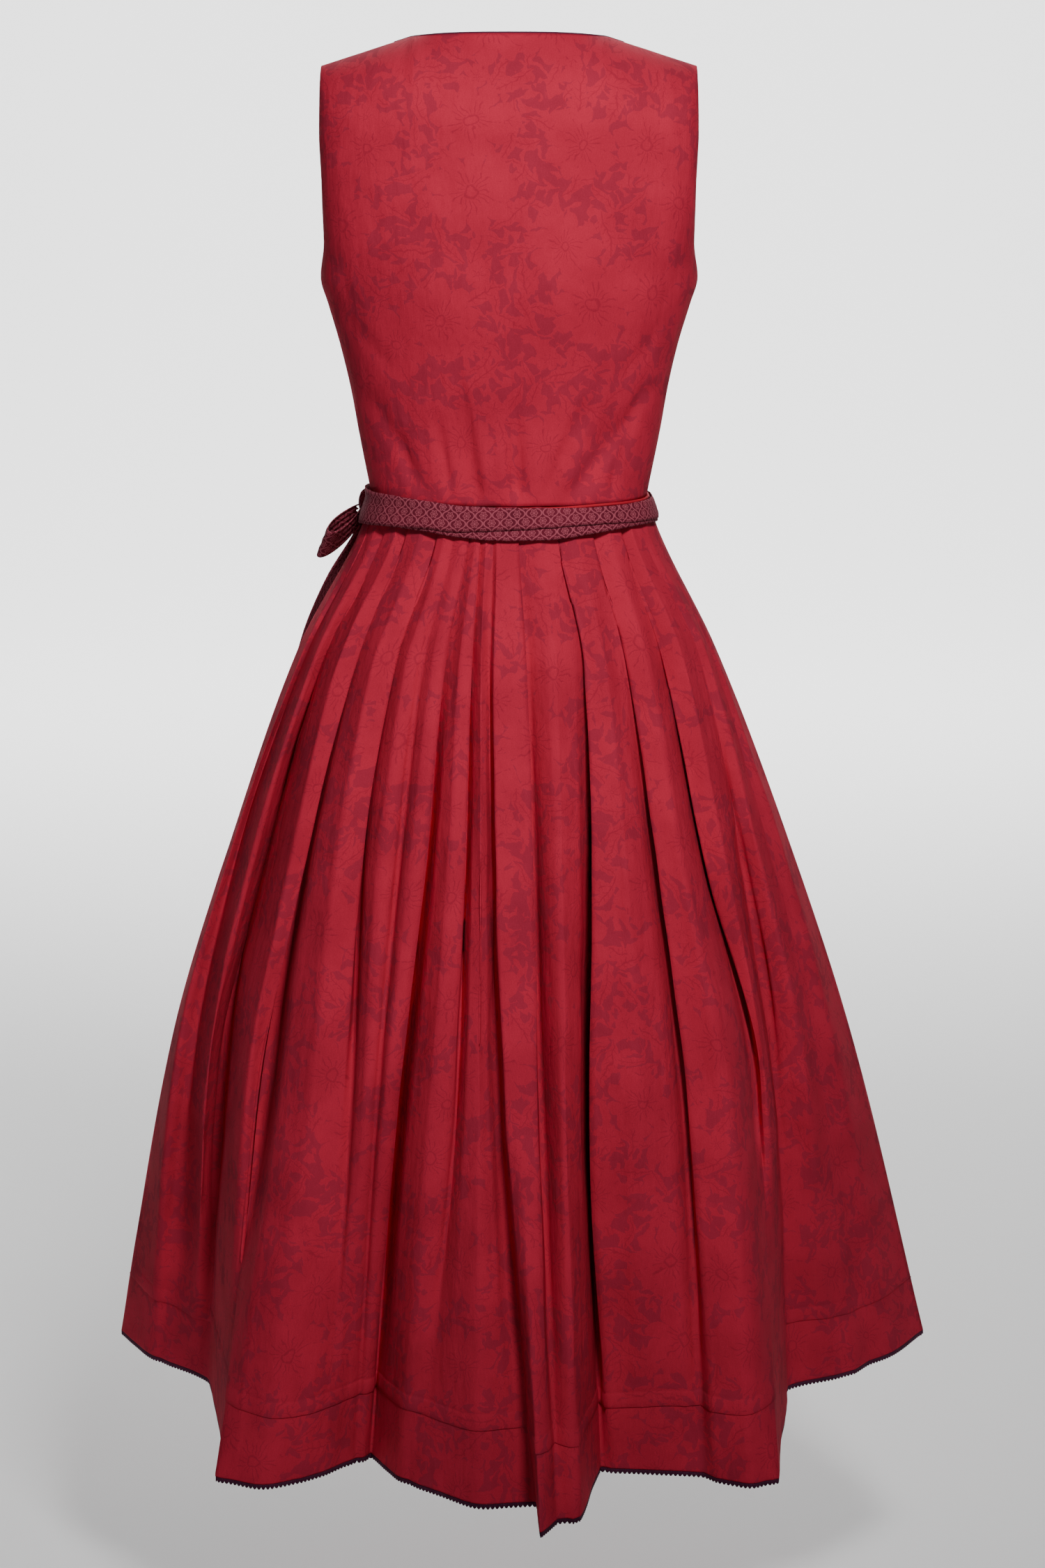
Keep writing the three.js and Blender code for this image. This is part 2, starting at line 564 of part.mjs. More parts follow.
function apronPanel() {
  const shares = spread(0, 1, APRON_GATHERS * SPANS_PER_GATHER);
  const angleAt = (share) => mix(APRON_ANGLES.right, APRON_ANGLES.left, share);
  const sections = APRON_ROWS.map((z) => shares.map((share) => waistPoint(angleAt(share), z, apronOut(share, z))));
  return wall(sections.map((row) => offsetLine(row, CLOTH)), sections);
}

addPiece('apron_panel', apronPanel(), 'apron');
addPiece(
  'apron_waistband',
  waistStrip(spread(BAND_ENDS.right, BAND_ENDS.left, 30), () => BAND_EDGES, OVER_PIPING, CLOTH),
  'apron',
);

// The two ties, each with its bottom and top heights at angles round the waist
const TIE_COLUMNS = ['angle', 'bottom', 'top'];
const tieEdges = (rows) => (angle) => {
  const knots = rows.map((row) => row[0]);
  const at = (column) => through(knots, rows.map((row) => row[TIE_COLUMNS.indexOf(column)]), angle);
  return { bottom: at('bottom'), top: at('top') };
};
const UPPER_TIE = tieEdges([
  [0, -391.5, -362],
  [30, -391, -366],
  [65, -387, -373.5],
  [90, -385.6, -375.5],
  [120, -384.5, -374.5],
  [150, -385.5, -373],
  [180, -387.5, -371],
  [225, -390, -369],
  [270, -392, -368],
  [315, -393, -366],
  [360, -391.5, -362],
]);
const LOWER_TIE = tieEdges([
  [-18, -398, -371],
  [0, -392, -366],
  [40, -395, -375],
  [60, -396.5, -383],
  [90, -398.5, -386.5],
  [120, -396.5, -384],
  [150, -391.5, -376],
  [180, -391, -372],
  [198, -398, -371],
]);

addPiece('tie_upper', waistStrip(ringAngles(72), UPPER_TIE, OVER_BAND, TIE_CLOTH, 3, true), 'apron');
addPiece(
  'tie_lower',
  waistStrip(
    spread(BAND_ENDS.left - 360 + GAP_ANGLE, BAND_ENDS.right - GAP_ANGLE, 48),
    LOWER_TIE,
    OVER_PIPING,
    TIE_CLOTH,
  ),
  'apron',
);

// The bow: a knot, two loops that droop from it and two tails that hang over the apron
const KNOT = { angle: 336, z: -381, halfWidth: 12, halfHeight: 12, halfDepth: 6.5 };
const KNOT_OUT = OVER_TIES + KNOT.halfDepth + 2 * SEAM;
const DEGREES_PER_MM = 0.475;

function knotGeometry() {
  const ball = new THREE.SphereGeometry(1, 16, 10);
  ball.deleteAttribute('uv');
  ball.deleteAttribute('normal');
  const [x, y, z] = waistPoint(KNOT.angle, KNOT.z, KNOT_OUT);
  const [outX, outY] = waistPoint(KNOT.angle, KNOT.z, KNOT_OUT + 1);
  const facing = new THREE.Matrix4().makeRotationZ(Math.atan2(outY - y, outX - x));
  ball.scale(KNOT.halfDepth, KNOT.halfWidth, KNOT.halfHeight).applyMatrix4(facing).translate(x, y, z);
  const welded = mergeVertices(ball, 1e-4);
  welded.computeVertexNormals();
  return welded;
}

// A loop is a strip bent back on itself. droop is its fall below level, in degrees.
const LOOP = { start: KNOT.halfWidth + 3 * SEAM, rootHalfWidth: 7, tipHalfWidth: 15, thickness: 8, spans: 22 };

function bowLoop(side, length, droop, lift) {
  const path = spread(0, 1, LOOP.spans).map((u) => {
    const reach = (1 - Math.cos(2 * Math.PI * u)) / 2;
    const belly = LOOP.thickness * Math.sin(2 * Math.PI * u) * Math.sqrt(reach);
    return [LOOP.start + length * reach, belly + 2.2 * Math.cos(Math.PI * u), reach];
  });
  const edge = (line, end) =>
    line.map(([along, out, reach]) => {
      const across = end * mix(LOOP.rootHalfWidth, LOOP.tipHalfWidth, reach ** 0.7);
      const sideways = along * Math.cos(radians(droop)) - across * Math.sin(radians(droop));
      const fall = along * Math.sin(radians(droop)) + across * Math.cos(radians(droop));
      const angle = KNOT.angle + side * sideways * DEGREES_PER_MM;
      return waistPoint(angle, KNOT.z - fall, KNOT_OUT + lift * reach + out);
    });
  const layer = (line) => [1, 0, -1].map((end) => edge(line, end));
  return wall(layer(offsetLine(path, TIE_CLOTH)), layer(path));
}

addPiece('bow_knot', knotGeometry(), 'apron');
addPiece('bow_loop_back', bowLoop(1, 44, 34, 11), 'apron');
addPiece('bow_loop_front', bowLoop(-1, 58, 14, 20), 'apron');

// A tail hangs from under the knot. It swings aside as it falls and is cut off square.
const TAIL_WIDTH = 34;
const TAIL_COLUMNS = ['name', 'startAngle', 'endAngle', 'endZ', 'startOut', 'endOut', 'sway'];
const TAILS = [
  ['bow_tail_back', 338, 325, -650, 7.5, 12.5, 3],
  ['bow_tail_front', 328, 312, -700, 9.5, 17, 4],
].map((row) => Object.fromEntries(TAIL_COLUMNS.map((name, i) => [name, row[i]])));
const TAIL_TOP_Z = KNOT.z - KNOT.halfHeight - 1;

function bowTail(tail) {
  const layer = (extra) =>
    spread(tail.endZ, TAIL_TOP_Z, 12).map((z) => {
      const fall = (TAIL_TOP_Z - z) / (TAIL_TOP_Z - tail.endZ);
      const angle = mix(tail.startAngle, tail.endAngle, fall);
      const [x, y] = outlinePlace(angle, z);
      const degreesPerMm = 180 / Math.PI / Math.hypot(x, y);
      const halfWidth = mix(8, TAIL_WIDTH / 2, smoothStep(0, 0.25, fall));
      return spread(-1, 1, 6).map((across) => {
        const wave = tail.sway * fall * (1 + Math.sin(across * 2.2 + fall * 4));
        const standOff = mix(tail.startOut, tail.endOut, smoothStep(0, 0.2, fall)) + 2.5 * fall;
        return waistPoint(angle + across * halfWidth * degreesPerMm, z, standOff + wave + extra);
      });
    });
  return wall(layer(TIE_CLOTH), layer(0));
}

TAILS.forEach((tail) => addPiece(tail.name, bowTail(tail), 'apron'));

// Trims of the bodice

// A piping is a narrow strip that continues a panel past its edge. It is given places along that edge
// and a place further inside the panel for each, which tell it which way the cloth runs.
const NECK_PIPING = { height: 2.4, thickness: 1.5 };

function edgePiping(edge, inside, facing) {
  const surface = (across, up) => bodicePoint(across, up, facing);
  const frames = edge.map(([across, up], i) => {
    const point = new THREE.Vector3(...surface(across, up));
    const within = new THREE.Vector3(...surface(...inside[i]));
    const beyond = point.clone().sub(within).normalize();
    const normal = normalAt(surface, across, up, [point.x * 0.4, facing * 80, up > 0.9 ? 120 : 0]);
    return { point, beyond, normal };
  });
  const layer = (depth) =>
    [SEAM, SEAM + NECK_PIPING.height].map((height) =>
      frames.map(({ point, beyond, normal }) =>
        point.clone().addScaledVector(beyond, height).addScaledVector(normal, -depth).toArray(),
      ),
    );
  return wall(layer(0), layer(NECK_PIPING.thickness));
}

const NECK_SHARE = 0.4;

function backNeckPiping() {
  const across = BACK_ACROSS.filter((share) => Math.abs(share) < NECK_SHARE);
  return edgePiping(across.map((a) => [a, BACK_UPS.at(-1)]), across.map((a) => [a, 0.97]), 1);
}

addPiece('neck_piping_back', backNeckPiping(), 'trim');

const BUTTON_SHARES = spread(0.1, 0.53, 5);
const BUTTON_PROFILE = [
  [0, 0],
  [6, 0],
  [6.4, 1.2],
  [5.4, 2.4],
  [3, 3.1],
  [0, 3.3],
].map(([radius, height]) => new THREE.Vector2(radius, height));

function button(up) {
  const surface = (across, share) => bodicePoint(across, share, -1);
  const normal = normalAt(surface, 0, up, [0, -1, 0]);
  const geometry = new THREE.LatheGeometry(BUTTON_PROFILE, 14);
  geometry.deleteAttribute('uv');
  geometry.deleteAttribute('normal');
  const turn = new THREE.Quaternion().setFromUnitVectors(new THREE.Vector3(0, 1, 0), normal);
  const place = movedAlong(surface(0, up), normal, CLOTH + 3 * SEAM);
  return facingOut(mergeVertices(geometry.applyQuaternion(turn).translate(...place), 1e-4));
}

BUTTON_SHARES.forEach((up, i) => addPiece(`button_${i + 1}`, button(up), 'button'));

export default dirndl;
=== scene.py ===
# A sleeveless red dirndl in a floral damask print, seen from behind as if it were worn: a fitted bodice,
# a wide skirt of knife pleats that open into deep folds, a growth tuck and a picot edging at its hem,
# and the burgundy ties of an apron that is worn in front. Tables are in millimetres, meshes in metres.
import math

import bpy
import numpy as np
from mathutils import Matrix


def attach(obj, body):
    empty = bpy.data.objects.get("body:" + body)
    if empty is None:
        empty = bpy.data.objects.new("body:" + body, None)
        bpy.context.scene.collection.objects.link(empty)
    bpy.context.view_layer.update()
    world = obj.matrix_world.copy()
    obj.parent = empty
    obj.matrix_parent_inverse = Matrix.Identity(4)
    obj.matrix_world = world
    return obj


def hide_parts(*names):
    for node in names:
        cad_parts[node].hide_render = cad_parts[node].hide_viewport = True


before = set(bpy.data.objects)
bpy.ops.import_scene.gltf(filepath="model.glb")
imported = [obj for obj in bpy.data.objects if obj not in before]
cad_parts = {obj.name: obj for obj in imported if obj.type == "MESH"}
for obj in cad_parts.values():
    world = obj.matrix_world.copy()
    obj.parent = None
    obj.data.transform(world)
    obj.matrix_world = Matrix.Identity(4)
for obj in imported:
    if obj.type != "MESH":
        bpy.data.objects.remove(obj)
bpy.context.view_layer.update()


# The camera
# It stands 3.2 m behind the dress at shoulder height and looks a little down, as the photograph does.
CAMERA_PLACE = (-0.0112, 3.2, 0.0)
CAMERA_DOWN = 10.96
CAMERA_LENS = 86.93

camera_data = bpy.data.cameras.new("camera")
camera_data.sensor_fit = "VERTICAL"
camera_data.sensor_height = 36
camera_data.lens = CAMERA_LENS
camera = bpy.data.objects.new("camera", camera_data)
camera.location = CAMERA_PLACE
camera.rotation_euler = (math.radians(90 - CAMERA_DOWN), 0, math.radians(180))
bpy.context.scene.collection.objects.link(camera)
bpy.context.scene.camera = camera


# The skirt
# Two cotton panels, pleated at the waist into knife pleats whose edges face the centre back. The pleats
# are pressed at the top and open downwards into flat-faced folds with deep shadows between them.
MM = 0.001
WAIST_Z = -370
HEM_Z = -1146
SEAM = 0.3
LEVEL_Z = {"hem": HEM_Z, "knee": -850, "thigh": -660, "hip": -500, "tie": -400, "waist": WAIST_Z}
LEVELS = list(LEVEL_Z)
HALF_WIDTH = {"waist": 116.5, "tie": 127, "hip": 178, "thigh": 238, "knee": 299, "hem": 366}
CENTRE_X = {"waist": 0, "tie": 0, "hip": 2, "thigh": 0, "knee": -2, "hem": -11}
BACK_DEPTH = {"waist": 86, "tie": 91, "hip": 133, "thigh": 188, "knee": 238, "hem": 300}
FRONT_DEPTH = {"waist": 95, "tie": 101, "hip": 143, "thigh": 200, "knee": 260, "hem": 335}
SIDE_Y = {"waist": 0, "tie": 0, "hip": -8, "thigh": -18, "knee": -36, "hem": -98}
FULLNESS = {"waist": 2.35, "tie": 2.3, "hip": 2.1, "thigh": 2, "knee": 2, "hem": 2}
PLEAT_DEPTH = {"waist": 2.4, "tie": 3.2, "hip": 8}
# How far each fold's two edges stand from its valley towards the crest, in millimetres, and how high they
# stand as a share of the way up to it
UPPER_EDGE = {"waist": -1.6, "tie": -2.4, "hip": -3.5, "thigh": -3, "knee": -2.5, "hem": 8}
UPPER_HEIGHT = {"waist": 1, "tie": 1, "hip": 1, "thigh": 0.97, "knee": 0.92, "hem": 0.5}
UNDER_EDGE = {"waist": 3, "tie": 3, "hip": 5.5, "thigh": 10, "knee": 12, "hem": 10}
UNDER_HEIGHT = {"waist": 0.1, "tie": 0.1, "hip": 0.4, "thigh": 0.7, "knee": 0.7, "hem": 0.35}
# How much deeper than its line a valley is drawn in towards the front, as a narrow slot
VALLEY_SINK = {"waist": 0.6, "tie": 1.2, "hip": 12, "thigh": 27, "knee": 31, "hem": 8}
# How round a line is: 0 is a pressed edge, 1 a soft bend
SOFTNESS = {"waist": 0.1, "tie": 0.15, "hip": 0.3, "thigh": 0.5, "knee": 0.75, "hem": 1}
ROUNDNESS = {"crest": 1, "valley": 0.6, "edge": 0.3, "side": 0}

CREST_SINK = 0.35

# The last two columns say how strongly a valley is drawn in, down to the thigh and from the knee down
FOLD_COLUMNS = ["name", "line", "lap", "waist", "hip", "thigh", "knee", "hem", "thigh_y", "knee_y", "hem_y"]
FOLD_COLUMNS += ["slot_high", "slot_low"]
BACK_FOLDS = [
    ["wing_left", "crest", 0, 115, 175, 235, 289, 324, 18, 24, -36, 0, 0],
    ["pleat_1", "valley", 1, 110.5, 171, 229, 273, 302, 32, 24, -10, 0.8, 0.2],
    ["pleat_1", "crest", 0, 105, 163, 215, 257, 280, 66, 76, 10, 0, 0],
    ["pleat_2", "valley", 1, 97, 155, 204, 246, 264, 68, 66, 40, 1.2, 0.8],
    ["pleat_2", "crest", 0, 88.5, 143, 182, 221, 243, 110, 138, 175, 0, 0],
    ["pleat_3", "valley", 1, 80, 130, 172, 206, 240, 100, 132, 270, 1.2, 0.8],
    ["pleat_3", "crest", 0, 69, 113, 143, 166, 200, 148, 202, 282, 0, 0],
    ["pleat_4", "valley", 1, 56, 97, 124, 130, 152, 142, 200, 254, 1, 0.1],
    ["pleat_4", "crest", 0, 50, 85, 107, 119, 137, 164, 217, 234, 0, 0],
    ["soft_left", "valley", 1, 43, 72, 91, 108, 127, 160, 214, 224, 0.2, 0.1],
    ["soft_left", "crest", 0, 37, 63, 80, 101, 121, 176, 222, 222, 0, 0],
    ["pleat_5", "valley", 1, 31, 54, 69, 93, 115, 156, 194, 222, 0.8, 1.3],
    ["pleat_5", "crest", 0, 26, 41, 50, 64, 92, 180, 230, 262, 0, 0],
    ["soft_centre", "valley", 1, 21.5, 31, 36, 43, 74, 176, 226, 284, 0.7, 0.3],
    ["soft_centre", "crest", 0, 17.5, 23, 23, 24, 26, 185, 240, 324, 0, 0],
    ["pleat_6", "valley", -1, 12, 16, 14, 8, -22, 172, 222, 320, 0.3, 0.1],
    ["centre_pleat", "crest", 0, 5, 4, -3, -10, -25, 191, 254, 384, 0, 0],
    ["pleat_7", "valley", 1, -7, -14, -19, -25, -39, 174, 230, 362, 0.8, 0.7],
    ["pleat_7", "crest", 0, -23, -38, -43, -46, -57, 190, 247, 350, 0, 0],
    ["pleat_8", "valley", -1, -38, -63, -69, -68, -76, 156, 194, 252, 0.8, 1.1],
    ["pleat_8", "crest", 0, -51, -80, -96, -106, -116, 180, 230, 249, 0, 0],
    ["pleat_9", "valley", -1, -65, -99, -123, -147, -160, 142, 200, 262, 0.8, 0.8],
    ["pleat_9", "crest", 0, -78, -115, -143, -180, -196, 154, 204, 280, 0, 0],
    ["pleat_10", "valley", -1, -87.5, -131, -165, -208, -221, 104, 112, 270, 1.4, 0.2],
    ["pleat_10", "crest", 0, -96, -146, -180, -216, -231, 110, 122, 165, 0, 0],
    ["pleat_11", "valley", -1, -103, -160, -195, -226, -244, 76, 74, 52, 0.3, 0.2],
    ["pleat_11", "crest", 0, -108.5, -167, -209, -252, -284, 74, 70, 24, 0, 0],
    ["wing_right", "valley", -1, -112.5, -171, -219, -266, -306, 50, 46, 8, 0.2, 0.1],
    ["wing_right", "crest", 0, -115, -174, -231, -284, -344, 30, 20, -40, 0, 0],
]


def mix(a, b, t):
    return a + (b - a) * t


def smooth_step(low, high, value):
    t = np.clip((value - low) / (high - low), 0, 1)
    return t * t * (3 - 2 * t)


def hermite(start, end, start_slope, end_slope, t):
    """A smooth curve from start to end that leaves and arrives with the two slopes."""
    starts = (2 * t**3 - 3 * t**2 + 1) * start + (t**3 - 2 * t**2 + t) * start_slope
    return starts + (-2 * t**3 + 3 * t**2) * end + (t**3 - t**2) * end_slope


def through(knots, values, at):
    """A curve through rising knots that never overshoots them. values may hold a column for each line."""
    knots, values = np.asarray(knots, float), np.asarray(values, float)
    at = np.clip(np.asarray(at, float), knots[0], knots[-1])
    flat = (1,) * (values.ndim - 1)
    slopes = np.diff(values, axis=0) / np.diff(knots).reshape((-1,) + flat)
    product = slopes[:-1] * slopes[1:]
    total = np.where(product > 0, slopes[:-1] + slopes[1:], 1)
    tangents = np.concatenate([slopes[:1], np.where(product > 0, 2 * product / total, 0), slopes[-1:]])
    i = np.clip(np.searchsorted(knots, at, side="right") - 1, 0, len(knots) - 2)
    width = (knots[i + 1] - knots[i]).reshape(at.shape + flat)
    t = (at - knots[i]).reshape(width.shape) / width
    return hermite(values[i], values[i + 1], width * tangents[i], width * tangents[i + 1], t)


def at_height(table, z):
    """What a table of the levels says at any height."""
    return through(list(LEVEL_Z.values()), [table[level] for level in LEVELS], z)


def unit(vectors):
    return vectors / np.maximum(np.linalg.norm(vectors, axis=-1, keepdims=True), 1e-9)


def lengths(points):
    """How far each point lies along its row of points."""
    steps = np.linalg.norm(np.diff(points, axis=-2), axis=-1)
    return np.concatenate([np.zeros(steps.shape[:-1] + (1,)), np.cumsum(steps, axis=-1)], axis=-1)


def outline_y(level, x, facing):
    """The plain outline of a section: y at x, on the back (1) or the front (-1)."""
    share = min(abs((x - CENTRE_X[level]) / HALF_WIDTH[level]), 1)
    depth = BACK_DEPTH[level] if facing > 0 else -FRONT_DEPTH[level]
    power = FULLNESS[level]
    return SIDE_Y[level] + (depth - SIDE_Y[level]) * (1 - share**power) ** (1 / power)


def side_line(sign):
    """A side seam, as a line that stands by itself: its kind, its lap and its place at each level."""
    return "side", 0, {level: (CENTRE_X[level] + sign * HALF_WIDTH[level], SIDE_Y[level]) for level in LEVELS}


def back_line(row):
    """A line of the back from its row. Its weakness says how far a valley is from a full slot."""
    fold = dict(zip(FOLD_COLUMNS, row))
    fold["tie"] = fold["waist"] * HALF_WIDTH["tie"] / HALF_WIDTH["waist"]
    sunk = 1 if fold["line"] == "valley" else CREST_SINK
    line = {"weakness": {}}
    for level in LEVELS:
        x = fold[level]
        y = fold.get(level + "_y", outline_y(level, x, 1) - sunk * PLEAT_DEPTH.get(level, 0))
        strength = fold["slot_low"] if level in ("knee", "hem") else fold["slot_high"]
        line[level] = (x, y - strength * VALLEY_SINK[level])
        line["weakness"][level] = 1 - min(strength, 1)
    return fold["line"], fold["lap"], line


FRONT_PLEATS = 12
FRONT_LINES = 2 * FRONT_PLEATS
MIDDLE_FOLD_SHARE = 0.55
FRONT_FOLD_DEPTH = {"waist": 2.4, "tie": 3.2, "hip": 7, "thigh": 13, "knee": 18, "hem": 24}


def front_line(number):
    """A line of the front, pleated evenly and shallow under the apron. Odd numbers are valleys."""
    angle, is_valley = math.pi * number / FRONT_LINES, number % 2
    line = {}
    for level in LEVELS:
        x = CENTRE_X[level] - HALF_WIDTH[level] * math.cos(angle)
        sunk = is_valley * FRONT_FOLD_DEPTH[level] * mix(1, MIDDLE_FOLD_SHARE, math.sin(angle))
        share = 1 - sunk / FRONT_DEPTH[level]
        line[level] = (mix(CENTRE_X[level], x, share), mix(SIDE_Y[level], outline_y(level, x, -1), share))
    lap = 1 if number <= FRONT_PLEATS else -1
    return ("valley", lap, line) if is_valley else ("crest", 0, line)


# Folds that stand past the second share of the half width are seen edge-on, those before the first are not
FACING_SHARE, EDGE_ON_SHARE = 0.76, 0.88
NARROWEST_GAP = 6
WEAK_VALLEY_SPREAD = 10
EDGE_LIMITS = (-0.4, 0.42)


def fold_edge(valley, crest, edge, height):
    """The edge of a fold beside its valley. Folds seen edge-on keep a plain flank."""
    line = {}
    for level in LEVELS:
        (x, y), (crest_x, crest_y) = valley[level], crest[level]
        share = abs(x - CENTRE_X[level]) / HALF_WIDTH[level]
        facing = min(max((EDGE_ON_SHARE - share) / (EDGE_ON_SHARE - FACING_SHARE), 0), 1)
        gap = mix(math.hypot(crest_x - x, crest_y - y), max(abs(crest_x - x), NARROWEST_GAP), facing)
        weakness = valley.get("weakness", {}).get(level, 0)
        t = min(max((edge[level] + WEAK_VALLEY_SPREAD * weakness) / gap, EDGE_LIMITS[0]), EDGE_LIMITS[1])
        line[level] = (mix(x, crest_x, t), mix(y, crest_y, mix(t, max(t, height[level]), facing)))
    return line


def with_edges(lines):
    """Adds the two edges of every valley. lines holds (kind, lap, line) from one side seam to the other."""
    full = []
    for i, (kind, lap, line) in enumerate(lines):
        if lap:
            sides = [(UNDER_EDGE, UNDER_HEIGHT), (UPPER_EDGE, UPPER_HEIGHT)][::-lap]
            before, after = (fold_edge(line, lines[i + j][2], *side) for j, side in zip((-1, 1), sides))
            full += [("edge", before), (kind, line), ("edge", after)]
        else:
            full.append((kind, line))
    return full


back_lines = with_edges([side_line(1), *map(back_line, BACK_FOLDS), side_line(-1)])
front_lines = with_edges([side_line(-1), *map(front_line, range(1, FRONT_LINES)), side_line(1)])


def panel_section(lines, heights, spans):
    """Level curves through a panel's lines: points, and each column's place among the lines."""
    at = at_height({level: [line[level] for _, line in lines] for level in LEVELS}, heights)
    roundness = np.array([ROUNDNESS[kind] for kind, _ in lines])
    bend = at_height(SOFTNESS, heights)[:, None, None] * roundness[:, None]
    tangents = np.gradient(at, axis=1) * bend
    curves, columns = [], []
    for i, count in enumerate(spans):
        chord = at[:, i + 1] - at[:, i]
        slopes = [mix(chord, tangents[:, j], bend[:, j]) for j in (i, i + 1)]
        last = i + 1 == len(spans)
        for step in range(count + last):
            curves.append(hermite(at[:, i], at[:, i + 1], *slopes, step / count))
            columns.append(i + step / count)
    return np.stack(curves, axis=1), np.array(columns)


# Creases of the skirt's back: x and z where each begins and ends, its depth and its width
SKIRT_CREASES = [
    [118, -405, 150, -520, 1.6, 5],
    [92, -410, 118, -560, 1.4, 6],
    [66, -415, 96, -600, 1.5, 6],
    [40, -420, 52, -560, 1.2, 5],
    [14, -410, 20, -520, 1.3, 5],
    [-12, -405, -20, -560, 1.4, 5],
    [-46, -410, -70, -520, 1.5, 6],
    [-72, -415, -108, -600, 1.5, 6],
    [-98, -410, -140, -540, 1.4, 5],
    [196, -700, 214, -1000, 4.5, 12],
    [160, -740, 186, -1080, 3.5, 13],
    [148, -820, 158, -1060, 2.5, 9],
    [24, -640, 18, -900, 2.2, 8],
    [6, -860, -6, -1100, 2.4, 8],
    [-34, -700, -38, -1010, 2, 7],
    [-88, -560, -92, -820, 3, 9],
    [-84, -820, -96, -1120, 3.5, 11],
    [-112, -900, -134, -1120, 3, 13],
    [-128, -620, -170, -900, 3.5, 11],
    [-180, -880, -192, -1100, 2.6, 12],
    [-190, -640, -236, -900, 3.5, 10],
    [-250, -900, -290, -1110, 5, 16],
    [-290, -930, -330, -1120, 4.5, 16],
    [268, -900, 300, -1110, 5, 15],
    [236, -760, 262, -1000, 4, 12],
]


def crease_depth(x, z, creases):
    """How far the cloth is pressed in by a table of creases."""
    total = np.zeros(np.broadcast(x, z).shape)
    for x0, z0, x1, z1, depth, width in creases:
        t = (z - z0) / (z1 - z0)
        taper = np.clip(4 * t * (1 - t), 0, 1) ** 0.8
        total += depth * taper * np.exp(-(((x - mix(x0, x1, np.clip(t, 0, 1))) / width) ** 2))
    return total


def crumple(u, v, size, height):
    """Slight unevenness of worn cotton: a few waves across each other, sized in millimetres."""
    waves = np.sin(u / size + 1.7 * np.sin(v / (2.3 * size) + 0.4))
    waves += np.sin(v / (1.9 * size) + 1.3 * np.sin(u / (1.6 * size) + 2.1))
    waves += 0.6 * np.sin((u + v) / (1.1 * size) + 0.9 * np.sin((u - v) / (2.7 * size)))
    return height * waves / 2.6


def sideways(points):
    """Unit vectors out of the cloth and level, for rows that run with the outside on their right."""
    along = np.gradient(points[..., :2], axis=1)
    return unit(np.stack([along[..., 1], -along[..., 0]], axis=-1))


def grid_object(name, points, uv, closed=False, tube=False, caps=()):
    """A mesh from a grid of points in millimetres, with a UV for each corner of each face of the grid."""
    rows, columns = points.shape[:2]
    row = np.arange(rows if tube else rows - 1)[:, None]
    column = np.arange(columns if closed else columns - 1)
    above, after = (row + 1) % rows, (column + 1) % columns
    corners = [(row, column), (row, after), (above, after), (above, column)]
    faces = np.stack([r * columns + c for r, c in corners], axis=-1).reshape(-1, 4)
    mesh = bpy.data.meshes.new(name)
    mesh.from_pydata((points.reshape(-1, 3) * MM).tolist(), [], faces.tolist() + list(caps))
    flat_uv = np.zeros((len(mesh.loops), 2))
    flat_uv[: faces.size] = uv.reshape(-1, 2) * MM
    mesh.uv_layers.new(name="cloth").data.foreach_set("uv", flat_uv.ravel())
    mesh.polygons.foreach_set("use_smooth", [True] * len(mesh.polygons))
    piece = bpy.data.objects.new(name, mesh)
    bpy.context.scene.collection.objects.link(piece)
    return piece


def cloth_object(name, points, uv, thickness, closed=False):
    """A sheet of cloth from a grid of points on its outside."""
    piece = grid_object(name, points, uv, closed)
    wall = piece.modifiers.new("wall", "SOLIDIFY")
    wall.thickness = thickness * MM
    wall.offset = -1
    return piece


def corner_uv(u, v):
    """Face-corner UVs from a value of u and v at each point of a grid."""
    at = np.stack(np.broadcast_arrays(u, v), axis=-1)
    return np.stack([at[:-1, :-1], at[:-1, 1:], at[1:, 1:], at[1:, :-1]], axis=2)


def pleated_uv(points, columns, lines, v):
    """UVs that lie undistorted on each pleat's face, and jump in the valleys, where cloth is folded away."""
    length = lengths(points)
    ends = [0, len(lines) - 1]
    crests = ends[:1] + [i for i, (kind, _) in enumerate(lines) if kind == "crest"] + ends[1:]
    valleys = [i for i, (kind, _) in enumerate(lines) if kind == "valley"]
    pleat = np.searchsorted(valleys, (columns[:-1] + columns[1:]) / 2)
    homes = [max(crest for crest in crests if crest <= end) for end in valleys + [len(lines)]]
    home = np.array([np.argmin(abs(columns - crest)) for crest in homes])[pleat]
    start = length[0, home] - length[:, home]
    left, right = length[:, :-1] + start, length[:, 1:] + start
    corners = [(left[:-1], v[:-1]), (right[:-1], v[:-1]), (right[1:], v[1:]), (left[1:], v[1:])]
    return np.stack([np.stack(np.broadcast_arrays(*corner), axis=-1) for corner in corners], axis=2)


# Materials are written as sums: a wire is a node's output, and + - * / between wires and numbers are nodes.
class Wire:
    def __init__(self, socket):
        self.socket = socket

    def __add__(self, other):
        return calc("ADD", self, other)

    def __radd__(self, other):
        return calc("ADD", other, self)

    def __sub__(self, other):
        return calc("SUBTRACT", self, other)

    def __rsub__(self, other):
        return calc("SUBTRACT", other, self)

    def __mul__(self, other):
        return calc("MULTIPLY", self, other)

    def __rmul__(self, other):
        return calc("MULTIPLY", other, self)

    def __truediv__(self, other):
        return calc("DIVIDE", self, other)

    def __rtruediv__(self, other):
        return calc("DIVIDE", other, self)


class Wires:
    """The outputs of a node, as wires by name or number."""

    def __init__(self, outputs):
        self.outputs = outputs

    def __getitem__(self, key):
        return Wire(self.outputs[key])


